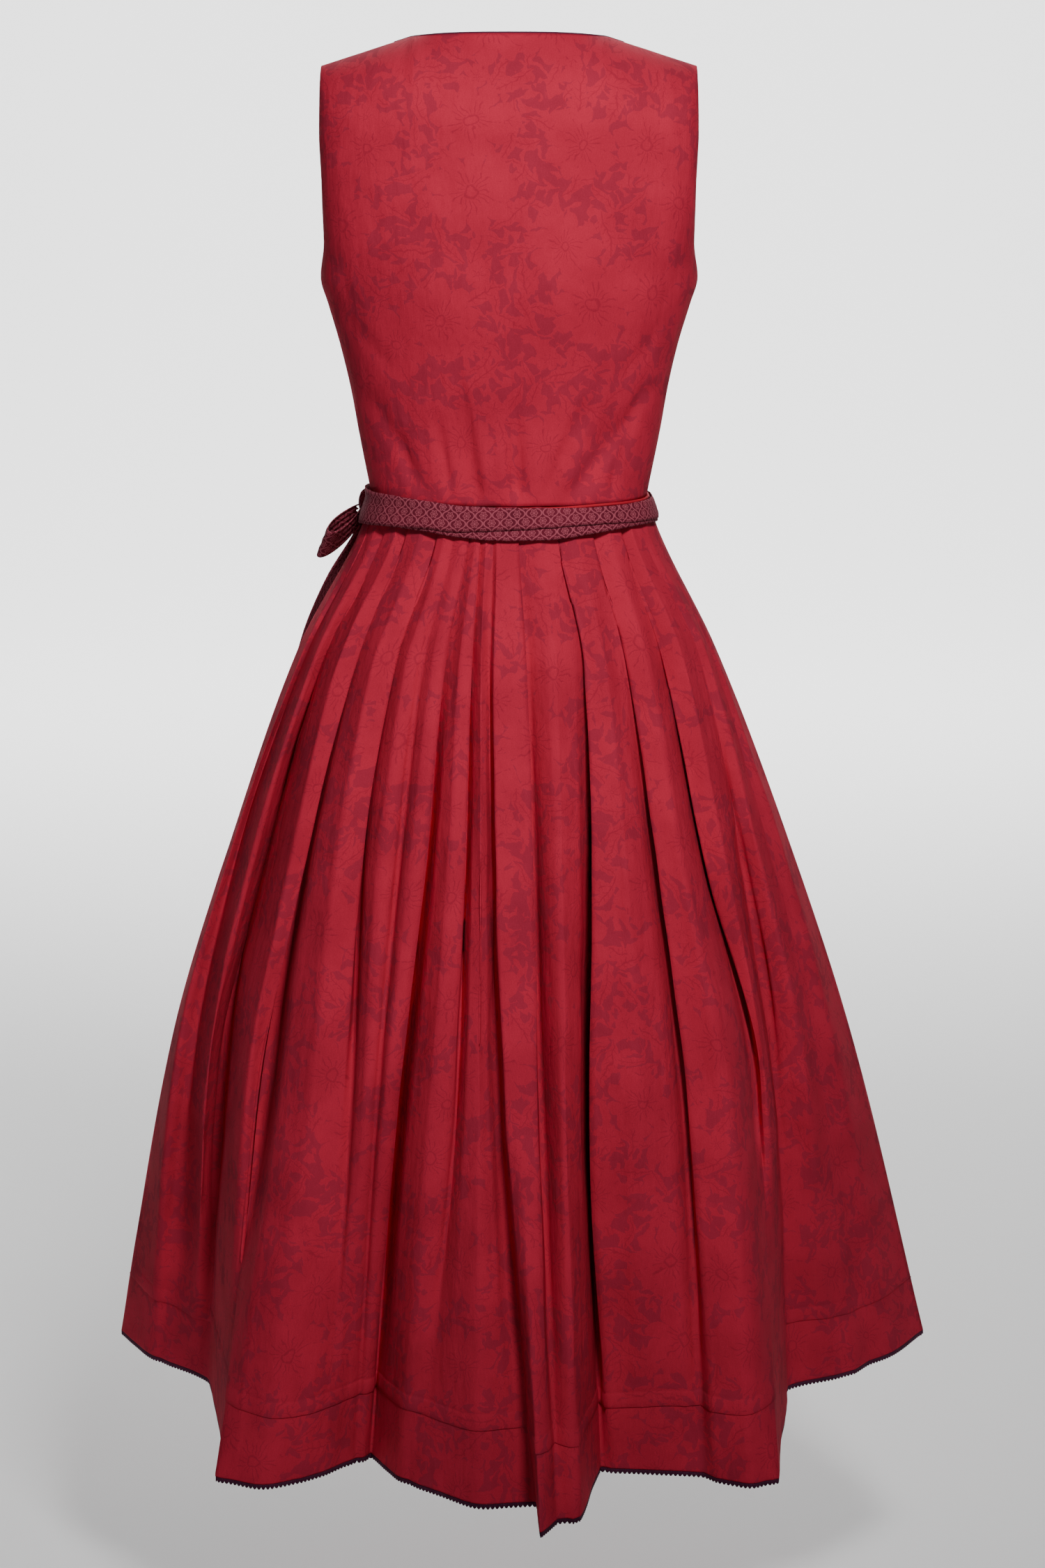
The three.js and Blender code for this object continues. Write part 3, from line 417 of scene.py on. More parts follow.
def fill(made, values):
    """Sets a node's inputs: a wire is linked, and a number or a colour is the input's own value."""
    for key, value in values.items():
        if isinstance(value, Wire):
            made.id_data.links.new(value.socket, made.inputs[key])
        else:
            made.inputs[key].default_value = value


def node(tree, kind, values, **settings):
    made = tree.nodes.new(kind)
    for name, value in settings.items():
        setattr(made, name, value)
    fill(made, values)
    return Wires(made.outputs)


def join(kind, values, **settings):
    """A node in the tree of the wires that lead to it."""
    tree = next(value.socket.id_data for value in values.values() if isinstance(value, Wire))
    return node(tree, kind, values, **settings)


def calc(operation, *values):
    return join("ShaderNodeMath", dict(enumerate(values)), operation=operation)[0]


def vector_calc(operation, *values):
    made = join("ShaderNodeVectorMath", dict(enumerate(values)), operation=operation)
    return made["Value" if operation == "LENGTH" else "Vector"]


def highest(first, *others):
    for other in others:
        first = calc("MAXIMUM", first, other)
    return first


def ramp(value, low, high, out_low=0.0, out_high=1.0):
    """A smooth step of a value between two limits."""
    values = {"Value": value, "From Min": low, "From Max": high, "To Min": out_low, "To Max": out_high}
    return join("ShaderNodeMapRange", values, interpolation_type="SMOOTHSTEP")[0]


def fading(value, low, high):
    return ramp(value, low, high, 1.0, 0.0)


def blend_colour(share, first, second, mode="MIX"):
    return join("ShaderNodeMix", {0: share, 6: first, 7: second}, data_type="RGBA", blend_type=mode)[2]


def noise(place, scale, detail, roughness=0.5):
    values = {"Vector": place, "Scale": scale, "Detail": detail, "Roughness": roughness}
    return join("ShaderNodeTexNoise", values, noise_dimensions="2D")


def spots(place, spacing, feature, randomness=1.0):
    """Spots scattered over the cloth at about this spacing in millimetres."""
    values = {"Vector": place, "Scale": 1 / (spacing * MM), "Randomness": randomness}
    return join("ShaderNodeTexVoronoi", values, voronoi_dimensions="2D", feature=feature)


def split(vector):
    return join("ShaderNodeSeparateXYZ", {0: vector})


def bump(height, strength, distance, **more):
    return join("ShaderNodeBump", {"Height": height, "Strength": strength, "Distance": distance, **more})[0]


def new_group(name, **numbers):
    """A shader group that takes the place on the cloth and named numbers, and what it is given."""
    group = bpy.data.node_groups.new(name, "ShaderNodeTree")
    group.interface.new_socket("Place", in_out="INPUT", socket_type="NodeSocketVector")
    for title, number in numbers.items():
        made = group.interface.new_socket(title, in_out="INPUT", socket_type="NodeSocketFloat")
        made.default_value = number
    return group, Wires(group.nodes.new("NodeGroupInput").outputs)


def put_out(group, **wires):
    """Ends a group with its named outputs."""
    for title in wires:
        group.interface.new_socket(title, in_out="OUTPUT", socket_type="NodeSocketFloat")
    fill(group.nodes.new("NodeGroupOutput"), wires)
    return group


def near_spot(place, spacing, shift, randomness):
    """The place from the nearest scattered spot, turned by chance: x, y, distance, angle and a lot."""
    moved = vector_calc("ADD", place, (*shift, 0))
    near = spots(moved, spacing, "F1", randomness)
    lot = join("ShaderNodeSeparateColor", {0: near["Color"]})
    turn = {"Vector": vector_calc("SUBTRACT", moved, near["Position"]), "Angle": lot[0] * (2 * math.pi)}
    turned = join("ShaderNodeVectorRotate", turn, rotation_type="Z_AXIS")[0]
    x, y, _ = split(turned)
    return x, y, vector_calc("LENGTH", turned), calc("ARCTAN2", y, x), lot[1]


def flower_motif(place, spacing, radius, petals, *shift):
    """A petalled flower at each scattered spot: its shape, and the fine dark lines inside it."""
    _, _, distance, angle, lot = near_spot(place, spacing, shift, 0.7)
    share = distance / (radius * MM * (0.82 + lot * 0.26))
    lobes = calc("ABSOLUTE", calc("COSINE", angle * (petals / 2)))
    shape = ramp(0.66 + calc("POWER", lobes, 0.6) * 0.34 - share, -0.01, 0.02)
    petal_lines = fading(lobes, 0.04, 0.13) * (ramp(share, 0.58, 0.66) * fading(share, 0.8, 1.0))
    threads = ramp(calc("COSINE", angle * (petals * 2.0)), 0.62, 0.9)
    reach = 0.46 + calc("COSINE", angle * 5.0) * 0.1
    heart = threads * (ramp(share, 0.16, 0.22) * fading(share - reach, -0.05, 0.03))
    ring = ramp(share, 0.1, 0.13) * fading(share, 0.15, 0.18)
    return shape, shape * highest(petal_lines, heart, ring)


def leaf_motif(place, spacing, length, width, *shift):
    """A pointed leaf at each scattered spot, with its midrib and side veins as dark lines."""
    x, y, *_ = near_spot(place, spacing, shift, 1.0)
    along = x / (length * MM)
    bulge = 1 - along * along
    bent = y / (width * MM) - bulge * 0.45
    from_rib = calc("ABSOLUTE", bent)
    inside = bulge - from_rib
    slant = along * 9.0 - calc("ABSOLUTE", bent * 2.2)
    veins = ramp(calc("COSINE", slant * 2.6), 0.82, 0.97) * ramp(inside, 0.15, 0.4)
    shape = ramp(inside, 0.0, 0.1)
    return shape, highest(fading(from_rib, 0.05, 0.13), veins * 0.8) * shape


# Spacing, length or radius, width or petals, and a shift that sets each layer off from the others
GROUND_BLOBS = [(14, 8.5, 2.6, 0.7, 3.1), (17, 10, 3.2, 4.3, 1.1), (12, 6, 1.8, 2.9, 4.7)]
PRINT_LEAVES = [(31, 16, 4.6, 2.17, 1.39), (43, 21, 6.0, 3.71, 2.23)]
PRINT_FLOWERS = [(58, 12, 5, 1.43, 0.61), (82, 35, 9, 0.31, 0.17)]
GROUND_SPACING = 13
PRINT_WAVER = 11 * MM


def floral_print():
    """A generic tone-on-tone floral: flowers, leaves and stems, lighter than the ground between them."""
    group, given = new_group("floral print")
    waver = vector_calc("SUBTRACT", noise(given["Place"], 60.0, 3.0)["Color"], (0.5, 0.5, 0.5))
    place = vector_calc("ADD", given["Place"], vector_calc("MULTIPLY", waver, (PRINT_WAVER,) * 3))
    # The ground shows as small pointed blobs between light stems and leaves
    inside = ramp(spots(place, GROUND_SPACING, "DISTANCE_TO_EDGE")["Distance"], 0.09, 0.14)
    lot = join("ShaderNodeSeparateColor", {0: spots(place, GROUND_SPACING, "F1")["Color"]})[0]
    blobs = [leaf_motif(place, *blob)[0] for blob in GROUND_BLOBS]
    motif, lines = 1 - highest(inside * ramp(lot, 0.5, 0.54), *blobs), 0.0
    layers = [leaf_motif(place, *leaf) for leaf in PRINT_LEAVES]
    layers += [flower_motif(place, *flower) for flower in PRINT_FLOWERS]
    for shape, detail in layers:
        motif, lines = highest(motif, shape), highest(lines * (1 - shape), detail)
    return put_out(group, Motif=motif, Lines=lines)


def cotton_weave():
    """Plain weave: threads across each other, as a height and as a faint change of tone."""
    group, given = new_group("cotton weave", Pitch=0.45)
    x, y, _ = split(given["Place"])
    turns = 2 * math.pi / MM / given["Pitch"]
    slubs = noise(given["Place"], 900.0, 2.0)[0]
    return put_out(group, Height=calc("SINE", x * turns) * calc("SINE", y * turns) + slubs, Tone=slubs)


def soft_tone():
    """Slow changes of tone over a few centimetres, as washed and worn cloth has."""
    group, given = new_group("soft tone")
    return put_out(group, Tone=ramp(noise(given["Place"], 16.0, 4.0, 0.6)[0], 0.3, 0.7))


def fall_crinkle():
    """Faint wrinkles of light cotton, longer down the cloth than across it."""
    group, given = new_group("fall crinkle")
    long_waves = noise(vector_calc("MULTIPLY", given["Place"], (110.0, 26.0, 1.0)), 1.0, 3.0)[0]
    short_waves = noise(vector_calc("MULTIPLY", given["Place"], (150.0, 130.0, 1.0)), 1.0, 2.0)[0]
    return put_out(group, Height=long_waves + short_waves * 0.35)


FLORAL_PRINT, FALL_CRINKLE = floral_print(), fall_crinkle()
COTTON_WEAVE, SOFT_TONE = cotton_weave(), soft_tone()


def new_material(name):
    material = bpy.data.materials.new(name)
    material.use_nodes = True
    return material, material.node_tree.nodes["Principled BSDF"]


def new_cloth(name):
    """A new material, its shader, and the place on the cloth."""
    material, shader = new_material(name)
    return material, shader, node(shader.id_data, "ShaderNodeUVMap", {}, uv_map="cloth")[0]


def use(group, **values):
    return join("ShaderNodeGroup", values, node_tree=group)


RED_MOTIF = (0.49, 0.024, 0.052, 1)
RED_GROUND = (0.37, 0.024, 0.050, 1)
RED_LINE = (0.38, 0.020, 0.044, 1)


def printed_cotton():
    material, shader, place = new_cloth("red_printed_cotton")
    floral = use(FLORAL_PRINT, Place=place)
    weave = use(COTTON_WEAVE, Place=place, Pitch=0.5)
    colour = blend_colour(floral["Motif"], RED_GROUND, RED_MOTIF)
    colour = blend_colour(floral["Lines"] * 0.9, colour, RED_LINE)
    shade = 0.9 + use(SOFT_TONE, Place=place)["Tone"] * 0.16 + (weave["Tone"] - 0.5) * 0.25
    grey = join("ShaderNodeCombineColor", {0: shade, 1: shade, 2: shade})[0]
    crinkle = bump(use(FALL_CRINKLE, Place=place)["Height"], 0.7, 0.0012)
    looks = {
        "Base Color": blend_colour(1.0, colour, grey, "MULTIPLY"),
        "Roughness": 0.92 - floral["Motif"] * 0.08,
        "Normal": bump(weave["Height"], 0.25, 0.0001, Normal=crinkle),
        "Specular IOR Level": 0.04,
    }
    fill(shader, looks)
    return material


RED_COTTON = printed_cotton()


def dress_piece(piece, material, slot, *nodes):
    """Gives a finished piece its material, and lets it stand for its solids."""
    piece.data.materials.append(material)
    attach(piece, "root")
    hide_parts(*nodes)
    return piece


# The growth tuck: a fold sewn round the skirt above its hem, which lies on the cloth below it
TUCK_EDGE_Z = HEM_Z + 54
TUCK_SEWN_Z = TUCK_EDGE_Z + 12.5
TUCK_ROWS = [
    [HEM_Z, 0.0],
    [HEM_Z + 1.2, 0.15],
    [HEM_Z + 6, 0.0],
    [HEM_Z + 22, 0.0],
    [HEM_Z + 40, 0.0],
    [TUCK_EDGE_Z - 3, 0.0],
    [TUCK_EDGE_Z - 0.8, 0.0],
    [TUCK_EDGE_Z + 0.5, -0.1],
    [TUCK_EDGE_Z + 0.1, 0.1],
    [TUCK_EDGE_Z, 0.6],
    [TUCK_EDGE_Z + 0.4, 0.8],
    [TUCK_EDGE_Z + 4, 0.8],
    [TUCK_SEWN_Z - 2.5, 0.7],
    [TUCK_SEWN_Z - 0.8, 0.3],
    [TUCK_SEWN_Z, 0.0],
    [TUCK_SEWN_Z + 1.2, 0.25],
    [TUCK_SEWN_Z + 4, 0.1],
]
SKIRT_CLOTH = 0.8
TUCK_FADE_Z = -1000
# Cloth falls at a slant, so it is this much longer than the height that it spans
SKIRT_SLANT = 1.06


def tuck_waver(x):
    """The sewn fold wanders a little up and down along the skirt."""
    return 2.2 * np.sin(x / 47 + 0.6) + 1.6 * np.sin(x / 19 + 2.0)


def skirt_panel(name, lines, facing, creases, step):
    """A panel of the skirt in columns and rows about a step apart, and the points of its outside."""
    top = WAIST_Z - SEAM
    above = np.arange(TUCK_ROWS[-1][0] + step, top - step * 0.4, step)
    heights = np.concatenate([[row[0] for row in TUCK_ROWS], above, [top]])
    lifts = np.concatenate([[row[1] for row in TUCK_ROWS], np.zeros(len(above) + 1)])
    hem = [line["hem"] for _, line in lines]
    spans = [min(max(round(math.dist(*ends) / step), 2), 9) for ends in zip(hem, hem[1:])]
    level, columns = panel_section(lines, heights, spans)
    near_tuck = smooth_step(HEM_Z + 6, TUCK_EDGE_Z, heights) * smooth_step(TUCK_FADE_Z, TUCK_SEWN_Z, heights)
    height = heights[:, None] + near_tuck[:, None] * tuck_waver(level[..., 0])
    x, y = level[..., 0], level[..., 1]
    loose = smooth_step(WAIST_Z - 30, WAIST_Z - 260, height)
    uneven = (crumple(x + y, height, 21, 0.9) + crumple(x - y, 0.35 * height, 8, 0.35)) * loose
    moved = (lifts[:, None] - crease_depth(x, height, creases) + uneven)[..., None] * sideways(level)
    moved[:, [0, -1]] = 0
    level = level + moved
    level[:, [0, -1], 1] += facing * SEAM / 2
    points = np.concatenate([level, height[..., None]], axis=-1)
    fall = np.concatenate([[0], np.cumsum(np.abs(np.diff(heights)) * SKIRT_SLANT)])[:, None]
    return cloth_object(name, points, pleated_uv(points, columns, lines, fall), SKIRT_CLOTH), points


STEP = 5
skirt_back, back_points = skirt_panel("skirt_back_cloth", back_lines, 1, SKIRT_CREASES, STEP)
skirt_front, front_points = skirt_panel("skirt_front_cloth", front_lines, -1, [], STEP + 1)
dress_piece(skirt_back, RED_COTTON, "dress", "skirt_back")
dress_piece(skirt_front, RED_COTTON, "dress", "skirt_front")


# The hem's picot edging
# A narrow burgundy crochet strip sewn under the hem: a solid header and a row of tiny loops.
PICOT_PITCH = 3.8
EDGING_HEADER, EDGING_NOTCH, EDGING_DROP = 1.2, 1.8, 4.7
EDGING_INSET = 0.3
EDGING_CLOTH = 0.9


def hem_edging(name, panel_points):
    """A ribbon that hangs from the hem row and ends in small round scallops, every few millimetres."""
    hem = panel_points[0]
    length = lengths(hem[:, :2])
    at = np.linspace(0, length[-1], int(length[-1] / (PICOT_PITCH / 6)) + 1)
    line = [np.interp(at, length, hem[:, axis]) for axis in range(3)]
    points = np.stack([np.stack(line, axis=-1)] * 3)
    scallops = mix(EDGING_NOTCH, EDGING_DROP, np.abs(np.sin(np.pi * at / PICOT_PITCH)) ** 0.6)
    for row, drop in enumerate((scallops, EDGING_HEADER, SEAM)):
        points[row, :, 2] -= drop
    points[:, 1:-1, :2] -= EDGING_INSET * sideways(points)[:, 1:-1]
    return cloth_object(name, points, corner_uv(at, np.array([[0], [3], [4.5]])), EDGING_CLOTH)


def crochet_trim():
    material, shader, place = new_cloth("burgundy_crochet_trim")
    stitches = calc("SINE", split(place)[0] * (2 * math.pi / (0.95 * MM)))
    # The colour is darker in the dips between the stitches and lighter on their tops: painted shade of the
    # stitches' relief, beside a slow random change of tone.
    share = ramp(stitches, -1, 1, 0, 0.6) + use(SOFT_TONE, Place=place)["Tone"] * 0.4
    looks = {
        "Base Color": blend_colour(share, (0.045, 0.010, 0.028, 1), (0.13, 0.028, 0.075, 1)),
        "Normal": bump(stitches, 0.6, 0.0004),
        "Roughness": 0.85,
        "Specular IOR Level": 0.1,
    }
    fill(shader, looks)
    return material


CROCHET_TRIM = crochet_trim()
edging_back = hem_edging("hem_edging_back_cloth", back_points)
edging_front = hem_edging("hem_edging_front_cloth", front_points)
dress_piece(edging_back, CROCHET_TRIM, "trim", "hem_edging_back")
dress_piece(edging_front, CROCHET_TRIM, "trim", "hem_edging_front")


# The bodice
# A close-fitting cotton bodice without sleeves. Its back is one smooth panel with soft drag folds that
# rise from the waist, and its two fronts meet at a buttoned band under a wide neckline.
SHOULDER_BEND_Z = -72
BODY_COLUMNS = ["z", "half_width", "back", "front", "back_edge", "front_edge"]
BODY = [
    [WAIST_Z, 116.5, 86, 95, 0, 0],
    [-313, 127.5, 87, 106, 0, 0],
    [-277, 134, 91, 115, 0, 0],
    [-242, 142, 97, 125.5, 0, 0],
    [-208, 152, 102, 134, 0, 0],
    [-186, 158, 104, 136, 1, -1],
    [-155, 154, 105, 130, 24, -38],
    [-115, 154.5, 104, 112, 38, -60],
    [SHOULDER_BEND_Z, 156.5, 100, 92, 36, -54],
]
NECK_HALF_WIDTH = 82
NAPE_Y, NAPE_Z = 50, 14.5
SHOULDER_NECK_Z = 11.5
SHOULDER_TIP_X, SHOULDER_TIP_Z = 156, -12
SHOULDER_SEAM_Y = -4
BODY_FULLNESS = 2.35
FRONT_TO_SHOULDER = 0.84
BUST_X, BUST_Z, BUST_SPREAD_X, BUST_SPREAD_Z, BUST_FULLNESS = 72, -196, 52, 62, 16
MIDDLE_SEAM_SHARE, SIDE_SEAM_SHARE = 0.0012, 0.000001
# Drag folds of the back: x at the waist, lean, depth, half width and height
BACK_DRAGS = [
    [26, 0.2, 5, 8, 120],
    [-8, 0.02, 6, 7, 105],
    [-52, -0.45, 4, 10, 110],
]
# Creases of the back: drag folds from the waist, from the armholes and across the small of it
BODICE_CREASES = [
    [24, -374, 40, -258, 2.6, 3.6],
    [-6, -374, -2, -272, 3.0, 3.2],
    [48, -372, 58, -300, 1.8, 3.5],
    [-46, -372, -122, -268, 3.4, 9],
    [-26, -372, -84, -250, 2.0, 8],
    [62, -374, 118, -276, 2.6, 8],
    [-84, -374, -90, -330, 1.6, 3],
    [8, -366, 20, -290, 1.6, 4],
    [44, -368, 62, -290, 1.5, 5],
    [78, -366, 92, -300, 1.2, 5],
    [-30, -366, -62, -280, 1.4, 5],
    [-84, -360, -112, -270, 1.4, 6],
    [112, -340, 70, -300, 1.0, 6],
    [140, -205, 96, -262, 1.3, 8],
    [-140, -205, -90, -270, 1.3, 8],
    [-148, -160, -118, -232, 1.2, 9],
    [148, -160, 120, -226, 1.0, 8],
]


def body_at(column, z):
    index = BODY_COLUMNS.index(column)
    return through([row[0] for row in BODY], [row[index] for row in BODY], z)


def bezier(a, b, c, d, t):
    return a * (1 - t) ** 3 + 3 * b * t * (1 - t) ** 2 + 3 * c * t**2 * (1 - t) + d * t**3


def top_edge(x):
    """The nape and the shoulder seam: y, z and how much the cloth leans in over the nape."""
    across = np.abs(x)
    t = np.clip(across / NECK_HALF_WIDTH, 0, 1)
    past = np.clip((across - NECK_HALF_WIDTH) / (SHOULDER_TIP_X - NECK_HALF_WIDTH), 0, None)
    y = mix(SHOULDER_SEAM_Y, NAPE_Y, np.sqrt(1 - t**2.4))
    z = np.where(past > 0, mix(SHOULDER_NECK_Z, SHOULDER_TIP_Z, past), mix(NAPE_Z, SHOULDER_NECK_Z, t**3))
    return y, z, np.where(past > 0, 0, 1 - t**3)


def bodice_shaping(x, z, facing):
    """How the bust fills the front, and how the back is drawn in by its drag folds."""
    if facing < 0:
        near_x = np.exp(-(((np.abs(x) - BUST_X) / BUST_SPREAD_X) ** 2))
        return -BUST_FULLNESS * near_x * np.exp(-(((z - BUST_Z) / BUST_SPREAD_Z) ** 2))
    total = np.zeros(np.broadcast(x, z).shape)
    for drag_x, lean, depth, half_width, height in BACK_DRAGS:
        away = (x - drag_x - lean * (z - WAIST_Z)) / half_width
        share = (z - WAIST_Z) / height
        rise = smooth_step(0, 0.16, share) * (1 - smooth_step(0.2, 1, share))
        total -= depth * np.exp(-(away**2)) * rise
    return total


def bodice_point(across, up, facing):
    """Points of the worn bodice, from shares across (-1 to 1) and up (0 at the waist, 1 at the top)."""
    across, up = np.broadcast_arrays(np.asarray(across, float), np.asarray(up, float))
    angle = across * math.pi / 2
    side = np.sign(np.sin(angle)) * np.abs(np.sin(angle)) ** (2 / BODY_FULLNESS)
    middle = np.abs(np.cos(angle)) ** (2 / BODY_FULLNESS)
    z = mix(WAIST_Z, SHOULDER_BEND_Z, np.clip(up / FRONT_TO_SHOULDER, 0, 1))
    x = body_at("half_width", z) * side
    depth = body_at("back", z) if facing > 0 else -body_at("front", z)
    edge = body_at("back_edge" if facing > 0 else "front_edge", z)
    y = mix(edge, depth, middle) + bodice_shaping(x, z, facing)
    t = np.clip((up - FRONT_TO_SHOULDER) / (1 - FRONT_TO_SHOULDER), 0, None)
    end_y, end_z, lean = top_edge(x)
    if facing < 0:
        end_y, lean = np.full_like(x, SHOULDER_SEAM_Y), np.zeros_like(x)
    rise, reach = end_z - z, y - end_y
    over_x = mix(x, x * SHOULDER_TIP_X / body_at("half_width", SHOULDER_BEND_Z), t)
    over_y = bezier(y, y + reach * 0.04, end_y + reach * mix(0.55, 0.35, lean), end_y, t)
    over_z = bezier(z, z + rise * 0.5, z + rise * mix(1, 0.72, lean), end_z, t)
    over = (up > FRONT_TO_SHOULDER)[..., None]
    return np.where(over, np.stack([over_x, over_y, over_z], axis=-1), np.stack([x, y, z], axis=-1))


def bodice_normals(across, up, facing):
    """Unit vectors out of the bodice: a hint of which way is out sets their sign."""
    step = 0.004
    lower, upper = np.maximum(up - step, 0), np.minimum(up + step, 1)
    along = bodice_point(across + step, up, facing) - bodice_point(across - step, up, facing)
    rise = bodice_point(across, upper, facing) - bodice_point(across, lower, facing)
    normal = unit(np.cross(along, rise))
    x = bodice_point(across, up, facing)[..., 0]
    hint = np.stack([x * 0.4, np.full(x.shape, facing * 80.0), np.where(up > 0.9, 120.0, 0.0)], axis=-1)
    return normal * np.where(np.sum(normal * hint, axis=-1, keepdims=True) < 0, -1, 1)


def bodice_panel(name, across, up, facing, lift):
    """A bodice panel from grids of shares across and up, lifted off the body by a distance."""
    points = bodice_point(across, up, facing) + bodice_normals(across, up, facing) * lift[..., None]
    along = lengths(points)
    middle = along[:, [np.argmin(np.abs(across[0]))]]
    return cloth_object(name, points, corner_uv(along - middle, points[..., 2] * BODICE_SLANT), BODICE_CLOTH)


def calm_edges(distance, ups, across):
    """Keeps creases off a panel's seams: 0 at the waist and the side seam, 1 further in."""
    return smooth_step(0, distance, ups) * smooth_step(0, 0.06, 1 - np.abs(across))


BODICE_CLOTH = 0.9
BODICE_SLANT = 1.03
FINE = 1
LOWEST_UP, HIGHEST_UP = 0.0015, 0.9997
back_ups = np.concatenate([np.linspace(LOWEST_UP, 0.86, int(90 * FINE)), np.linspace(0.87, HIGHEST_UP, 24)])
back_across = (1 - SIDE_SEAM_SHARE) * np.linspace(1, -1, int(130 * FINE))
back_across, back_ups = np.meshgrid(back_across, back_ups)
back_x, _, back_z = np.moveaxis(bodice_point(back_across, back_ups, 1), -1, 0)
back_lift = crumple(back_x, back_z, 17, 0.5) - crease_depth(back_x, back_z, BODICE_CREASES)
back_lift *= calm_edges(0.04, back_ups, back_across) * smooth_step(0, 0.05, 1 - back_ups)
bodice_back = bodice_panel("bodice_back_cloth", back_across, back_ups, 1, back_lift)
dress_piece(bodice_back, RED_COTTON, "dress", "bodice_back")

# The square neckline: rows of a front panel, where each begins beside the middle, and how far up it is there
NECKLINE_ROWS = [0, 0.56, 0.62, 0.7, 0.8, 0.9, 1]
NECKLINE_ACROSS = [0, 0, 0.26, 0.395, 0.435, 0.42, 0.392]
NECKLINE_UP = [LOWEST_UP, 0.6, 0.612, 0.67, 0.79, 0.9, HIGHEST_UP]
SIDE_ROWS, SIDE_UPS = [0, 0.56, 1], [LOWEST_UP, 0.52, HIGHEST_UP]
BAND_SHARE = 0.052


def front_ups(row, across):
    inner = through(NECKLINE_ROWS, NECKLINE_ACROSS, row)
    t = np.clip((np.abs(across) - inner) / (1 - inner), 0, 1)
    low = through(NECKLINE_ROWS, NECKLINE_UP, row)
    return mix(low, through(SIDE_ROWS, SIDE_UPS, row), smooth_step(0.02, 0.9, t))


def bodice_front(name, side):
    rows = np.linspace(0, 1, int(80 * FINE))[:, None]
    share = np.linspace(0, 1, int(56 * FINE))
    inner = through(NECKLINE_ROWS, NECKLINE_ACROSS, rows)
    across = mix(inner + MIDDLE_SEAM_SHARE, 1 - SIDE_SEAM_SHARE, share)
    ups = front_ups(rows, across)
    # From the outside the columns run towards the wearer's left
    across, ups = side * across[:, ::side], ups[:, ::side]
    x, _, z = np.moveaxis(bodice_point(across, ups, -1), -1, 0)
    calm = calm_edges(0.06, ups, across) * smooth_step(0.0, 0.1, np.abs(across))
    return bodice_panel(name, across, ups, -1, crumple(x + 40, z, 15, 0.4) * calm)


for name, side in (("bodice_front_left", 1), ("bodice_front_right", -1)):
    panel = dress_piece(bodice_front(name + "_cloth", side), RED_COTTON, "dress", name)

band_across = np.linspace(-BAND_SHARE, BAND_SHARE, 11)[None, :]
band_ups = front_ups(np.linspace(0.014, 0.56, 60)[:, None], band_across)
band_across = np.broadcast_to(band_across, band_ups.shape)
band_lift = 1.7 - 0.5 * smooth_step(0.8, 1, np.abs(band_across) / BAND_SHARE)
button_band = bodice_panel("button_band_cloth", band_across, band_ups, -1, band_lift)
dress_piece(button_band, RED_COTTON, "dress", "button_band")


# The pipings
# A thin red cord set between the bodice and the skirt, and a burgundy one along the back of the neck.
def outline_place(angle, z):
    """The plain outline at angles and heights: 0 is the wearer's left, 90 the back."""
    angle, z = np.broadcast_arrays(np.asarray(angle, float), np.asarray(z, float))
    across, away = np.cos(np.radians(angle)), np.sin(np.radians(angle))
    is_back, is_bodice = away > 0, z > WAIST_Z

    def either(body, skirt_table):
        return np.where(is_bodice, body, at_height(skirt_table, np.minimum(z, WAIST_Z)))

    middle_y = either(0, SIDE_Y)
    back, front = either(body_at("back", z), BACK_DEPTH), either(body_at("front", z), FRONT_DEPTH)
    depth = np.where(is_back, back, -front) - middle_y
    power = 2 / either(BODY_FULLNESS, FULLNESS)
    x = either(body_at("half_width", z), HALF_WIDTH) * np.sign(across) * np.abs(across) ** power
    return either(0, CENTRE_X) + x, middle_y + depth * np.abs(away) ** power


WAIST_TURN = 0.8


def waist_point(angle, z, out):
    """Points at a distance out from the plain outline."""
    x, y = outline_place(angle, z)
    next_x, next_y = outline_place(np.asarray(angle, float) + WAIST_TURN, z)
    last_x, last_y = outline_place(np.asarray(angle, float) - WAIST_TURN, z)
    along_x, along_y = next_x - last_x, next_y - last_y
    length = np.hypot(along_x, along_y)
    points = np.broadcast_arrays(x + out * along_y / length, y - out * along_x / length, z)
    return np.stack(points, axis=-1)


TUBE_ROUNDS = 10


def tube_object(name, path, radius, closed=False):
    """A cord along a path of points in millimetres, with its faces turned outwards."""
    before, after = (path[-1:], path[:1]) if closed else (path[:1], path[-1:])
    longer = np.concatenate([before, path, after])
    along = unit(longer[2:] - longer[:-2])
    first = unit(np.cross(along, [0.0, 0.0, 1.0]))
    turns = np.linspace(0, 2 * math.pi, TUBE_ROUNDS, endpoint=False)[:, None, None]
    points = path + radius * (first * np.cos(turns) + np.cross(first, along) * np.sin(turns))
    run = lengths(longer[1:] if closed else path)
    girth = 2 * math.pi * radius * np.arange(TUBE_ROUNDS + 1)[:, None] / TUBE_ROUNDS
    starts = np.arange(TUBE_ROUNDS) * len(path)
    caps = [] if closed else [starts.tolist(), (starts + len(path) - 1)[::-1].tolist()]
    return grid_object(name, points, corner_uv(run, girth), closed, True, caps)


def plain_cotton(name, colour):
    material, shader, place = new_cloth(name)
    weave = use(COTTON_WEAVE, Place=place, Pitch=0.45)
    darker = tuple(part * 0.8 for part in colour[:3]) + (1,)
    tone = use(SOFT_TONE, Place=place)["Tone"] * 0.5 + weave["Tone"] * 0.5
    looks = {
        "Base Color": blend_colour(tone, darker, colour),
        "Normal": bump(weave["Height"], 0.3, 0.0001),
        "Roughness": 0.7,
        "Specular IOR Level": 0.1,
    }
    fill(shader, looks)
    return material


BRIGHT_RED = plain_cotton("bright_red_piping", (0.52, 0.018, 0.035, 1))
DARK_BURGUNDY = plain_cotton("dark_burgundy_piping", (0.10, 0.018, 0.045, 1))

